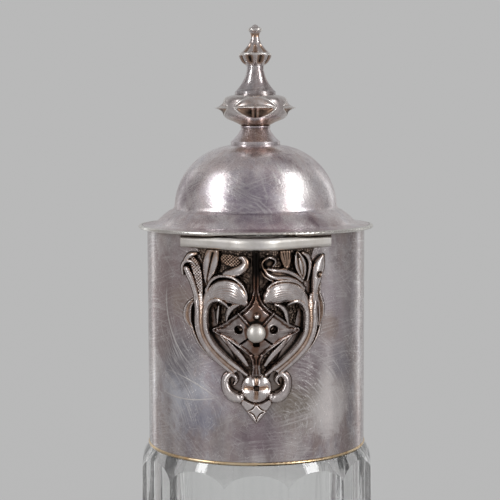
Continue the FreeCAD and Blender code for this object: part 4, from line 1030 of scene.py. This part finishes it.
# Painted light among the collar's patches: those at (10, -29, 185.5) and (13, -28, 194) are painted shadow
# beside the ornament, and those at (-20, -24, 187), (18, -25, 186) and (20, -23.7, 182) are painted
# reflections of the softboxes. The rest are tarnish.
collar_tarnish_and_painted_light = [
    ((-25, -19, 212), 17, colour(0.42, 0.33, 0.33)), ((-12, -29, 190), 9, colour(0.42, 0.32, 0.36)),
    ((-20, -24, 187), 12, colour(0.76, 0.79, 0.86)), ((18, -25, 186), 12, colour(0.84, 0.80, 0.78)),
    ((10, -29, 185.5), 10, colour(0.26, 0.22, 0.18)), ((21, -23, 208), 13, colour(0.56, 0.50, 0.53)),
    ((-20, -24, 212), 5, colour(0.46, 0.37, 0.33)), ((20, -24, 205), 5, colour(0.48, 0.40, 0.37)),
    ((-21, -23, 196), 8, colour(0.25, 0.23, 0.26)), ((-16, -26.5, 180), 6, colour(0.36, 0.36, 0.43)),
    ((-26, -17, 200), 6, colour(0.36, 0.29, 0.29)), ((0, -31, 176.5), 8, colour(0.34, 0.27, 0.30)),
    ((13, -28, 194), 7, colour(0.30, 0.24, 0.26)), ((20, -23.7, 182), 7, colour(0.92, 0.88, 0.86)),
    ((24, -20, 194), 6, colour(0.40, 0.38, 0.42)),
]
# The pale patches at (-12, -20, 243) and (13, -19, 243) are painted glow round the dome's highlights; the
# rest are tarnish.
lid_tarnish_and_painted_light = [
    ((-21, -9, 242), 9, colour(0.36, 0.30, 0.33)), ((4, -29, 234), 9, colour(0.52, 0.41, 0.45)),
    ((-1, -23, 240), 9, colour(0.36, 0.31, 0.38)), ((-12, -20, 243), 6, colour(0.80, 0.74, 0.80)),
    ((13, -19, 243), 7, colour(0.84, 0.80, 0.80)),
]
collar_rubs = [
    ((18, -25, 186), 17, (6, -31, 178)), ((-20, -24, 187), 14, (-48, -20, 170)),
    ((-22, -22, 200), 9, (4, -30, 214)),
]
lid_rubs = [((10, -17, 247), 12, (-4, -10, 236)), ((-8, -21, 241), 10, (8, -20, 262))]
collar_scratches = [
    ((-22, -21.6, 203), 14, (1.6, -22, 212.1), 26.3), ((-20, -24, 186), 12, (-24, -30, 235), 50.5),
    ((-17, -26, 190), 9, (-40, -26, 140), 55.0),
]
silver = tarnished_silver("tarnished_silver", collar_tones, (0.10, 0.18),
                          collar_tarnish_and_painted_light, collar_rubs, collar_scratches)
lid = tarnished_silver("lid_silver", lid_tones, (0.17, 0.27), lid_tarnish_and_painted_light, lid_rubs)
pale = tarnished_silver("pale_silver", lip_tones, (0.32, 0.44))
polished = tarnished_silver("polished_silver", lip_tones, (0.12, 0.20))
# Lighter and darker copies of one cast silver: painted light for how brightly the plate, the leaves, the
# volutes with drop and rosette, and the finial are lit.
casting = cast_silver("cast_silver", -0.04)
leaf = cast_silver("leaf_silver", 0.25)
bright = cast_silver("bright_cast_silver", 0.26)
finial = cast_silver("finial_silver", 0.17)
dark = oxidised_silver("oxidised_silver")
rod = brass("brass")
NODE_MATERIALS = {
    "glass_body": glass("clear_glass"), "neck_cement": plaster("plaster"), "collar_foot_wire": gilt("gilt"),
    "spout_lip": pale, "spout_shell": dark, "spout_pearl": pale, "lid_rim_wire": polished,
    "lid_dome": lid, "finial_foot": lid,
    "finial_rod": rod, "finial_washer": rod, "finial_nut": rod, "hinge_pin": rod,
}
for name, item in nodes.items():
    item.data.materials.clear()
    item.data.materials.append(NODE_MATERIALS.get(name, silver))

ornament(casting, leaf, bright)
knop(finial)
bud(finial)
button(finial)

bpy.context.scene.view_settings.view_transform = "Standard"
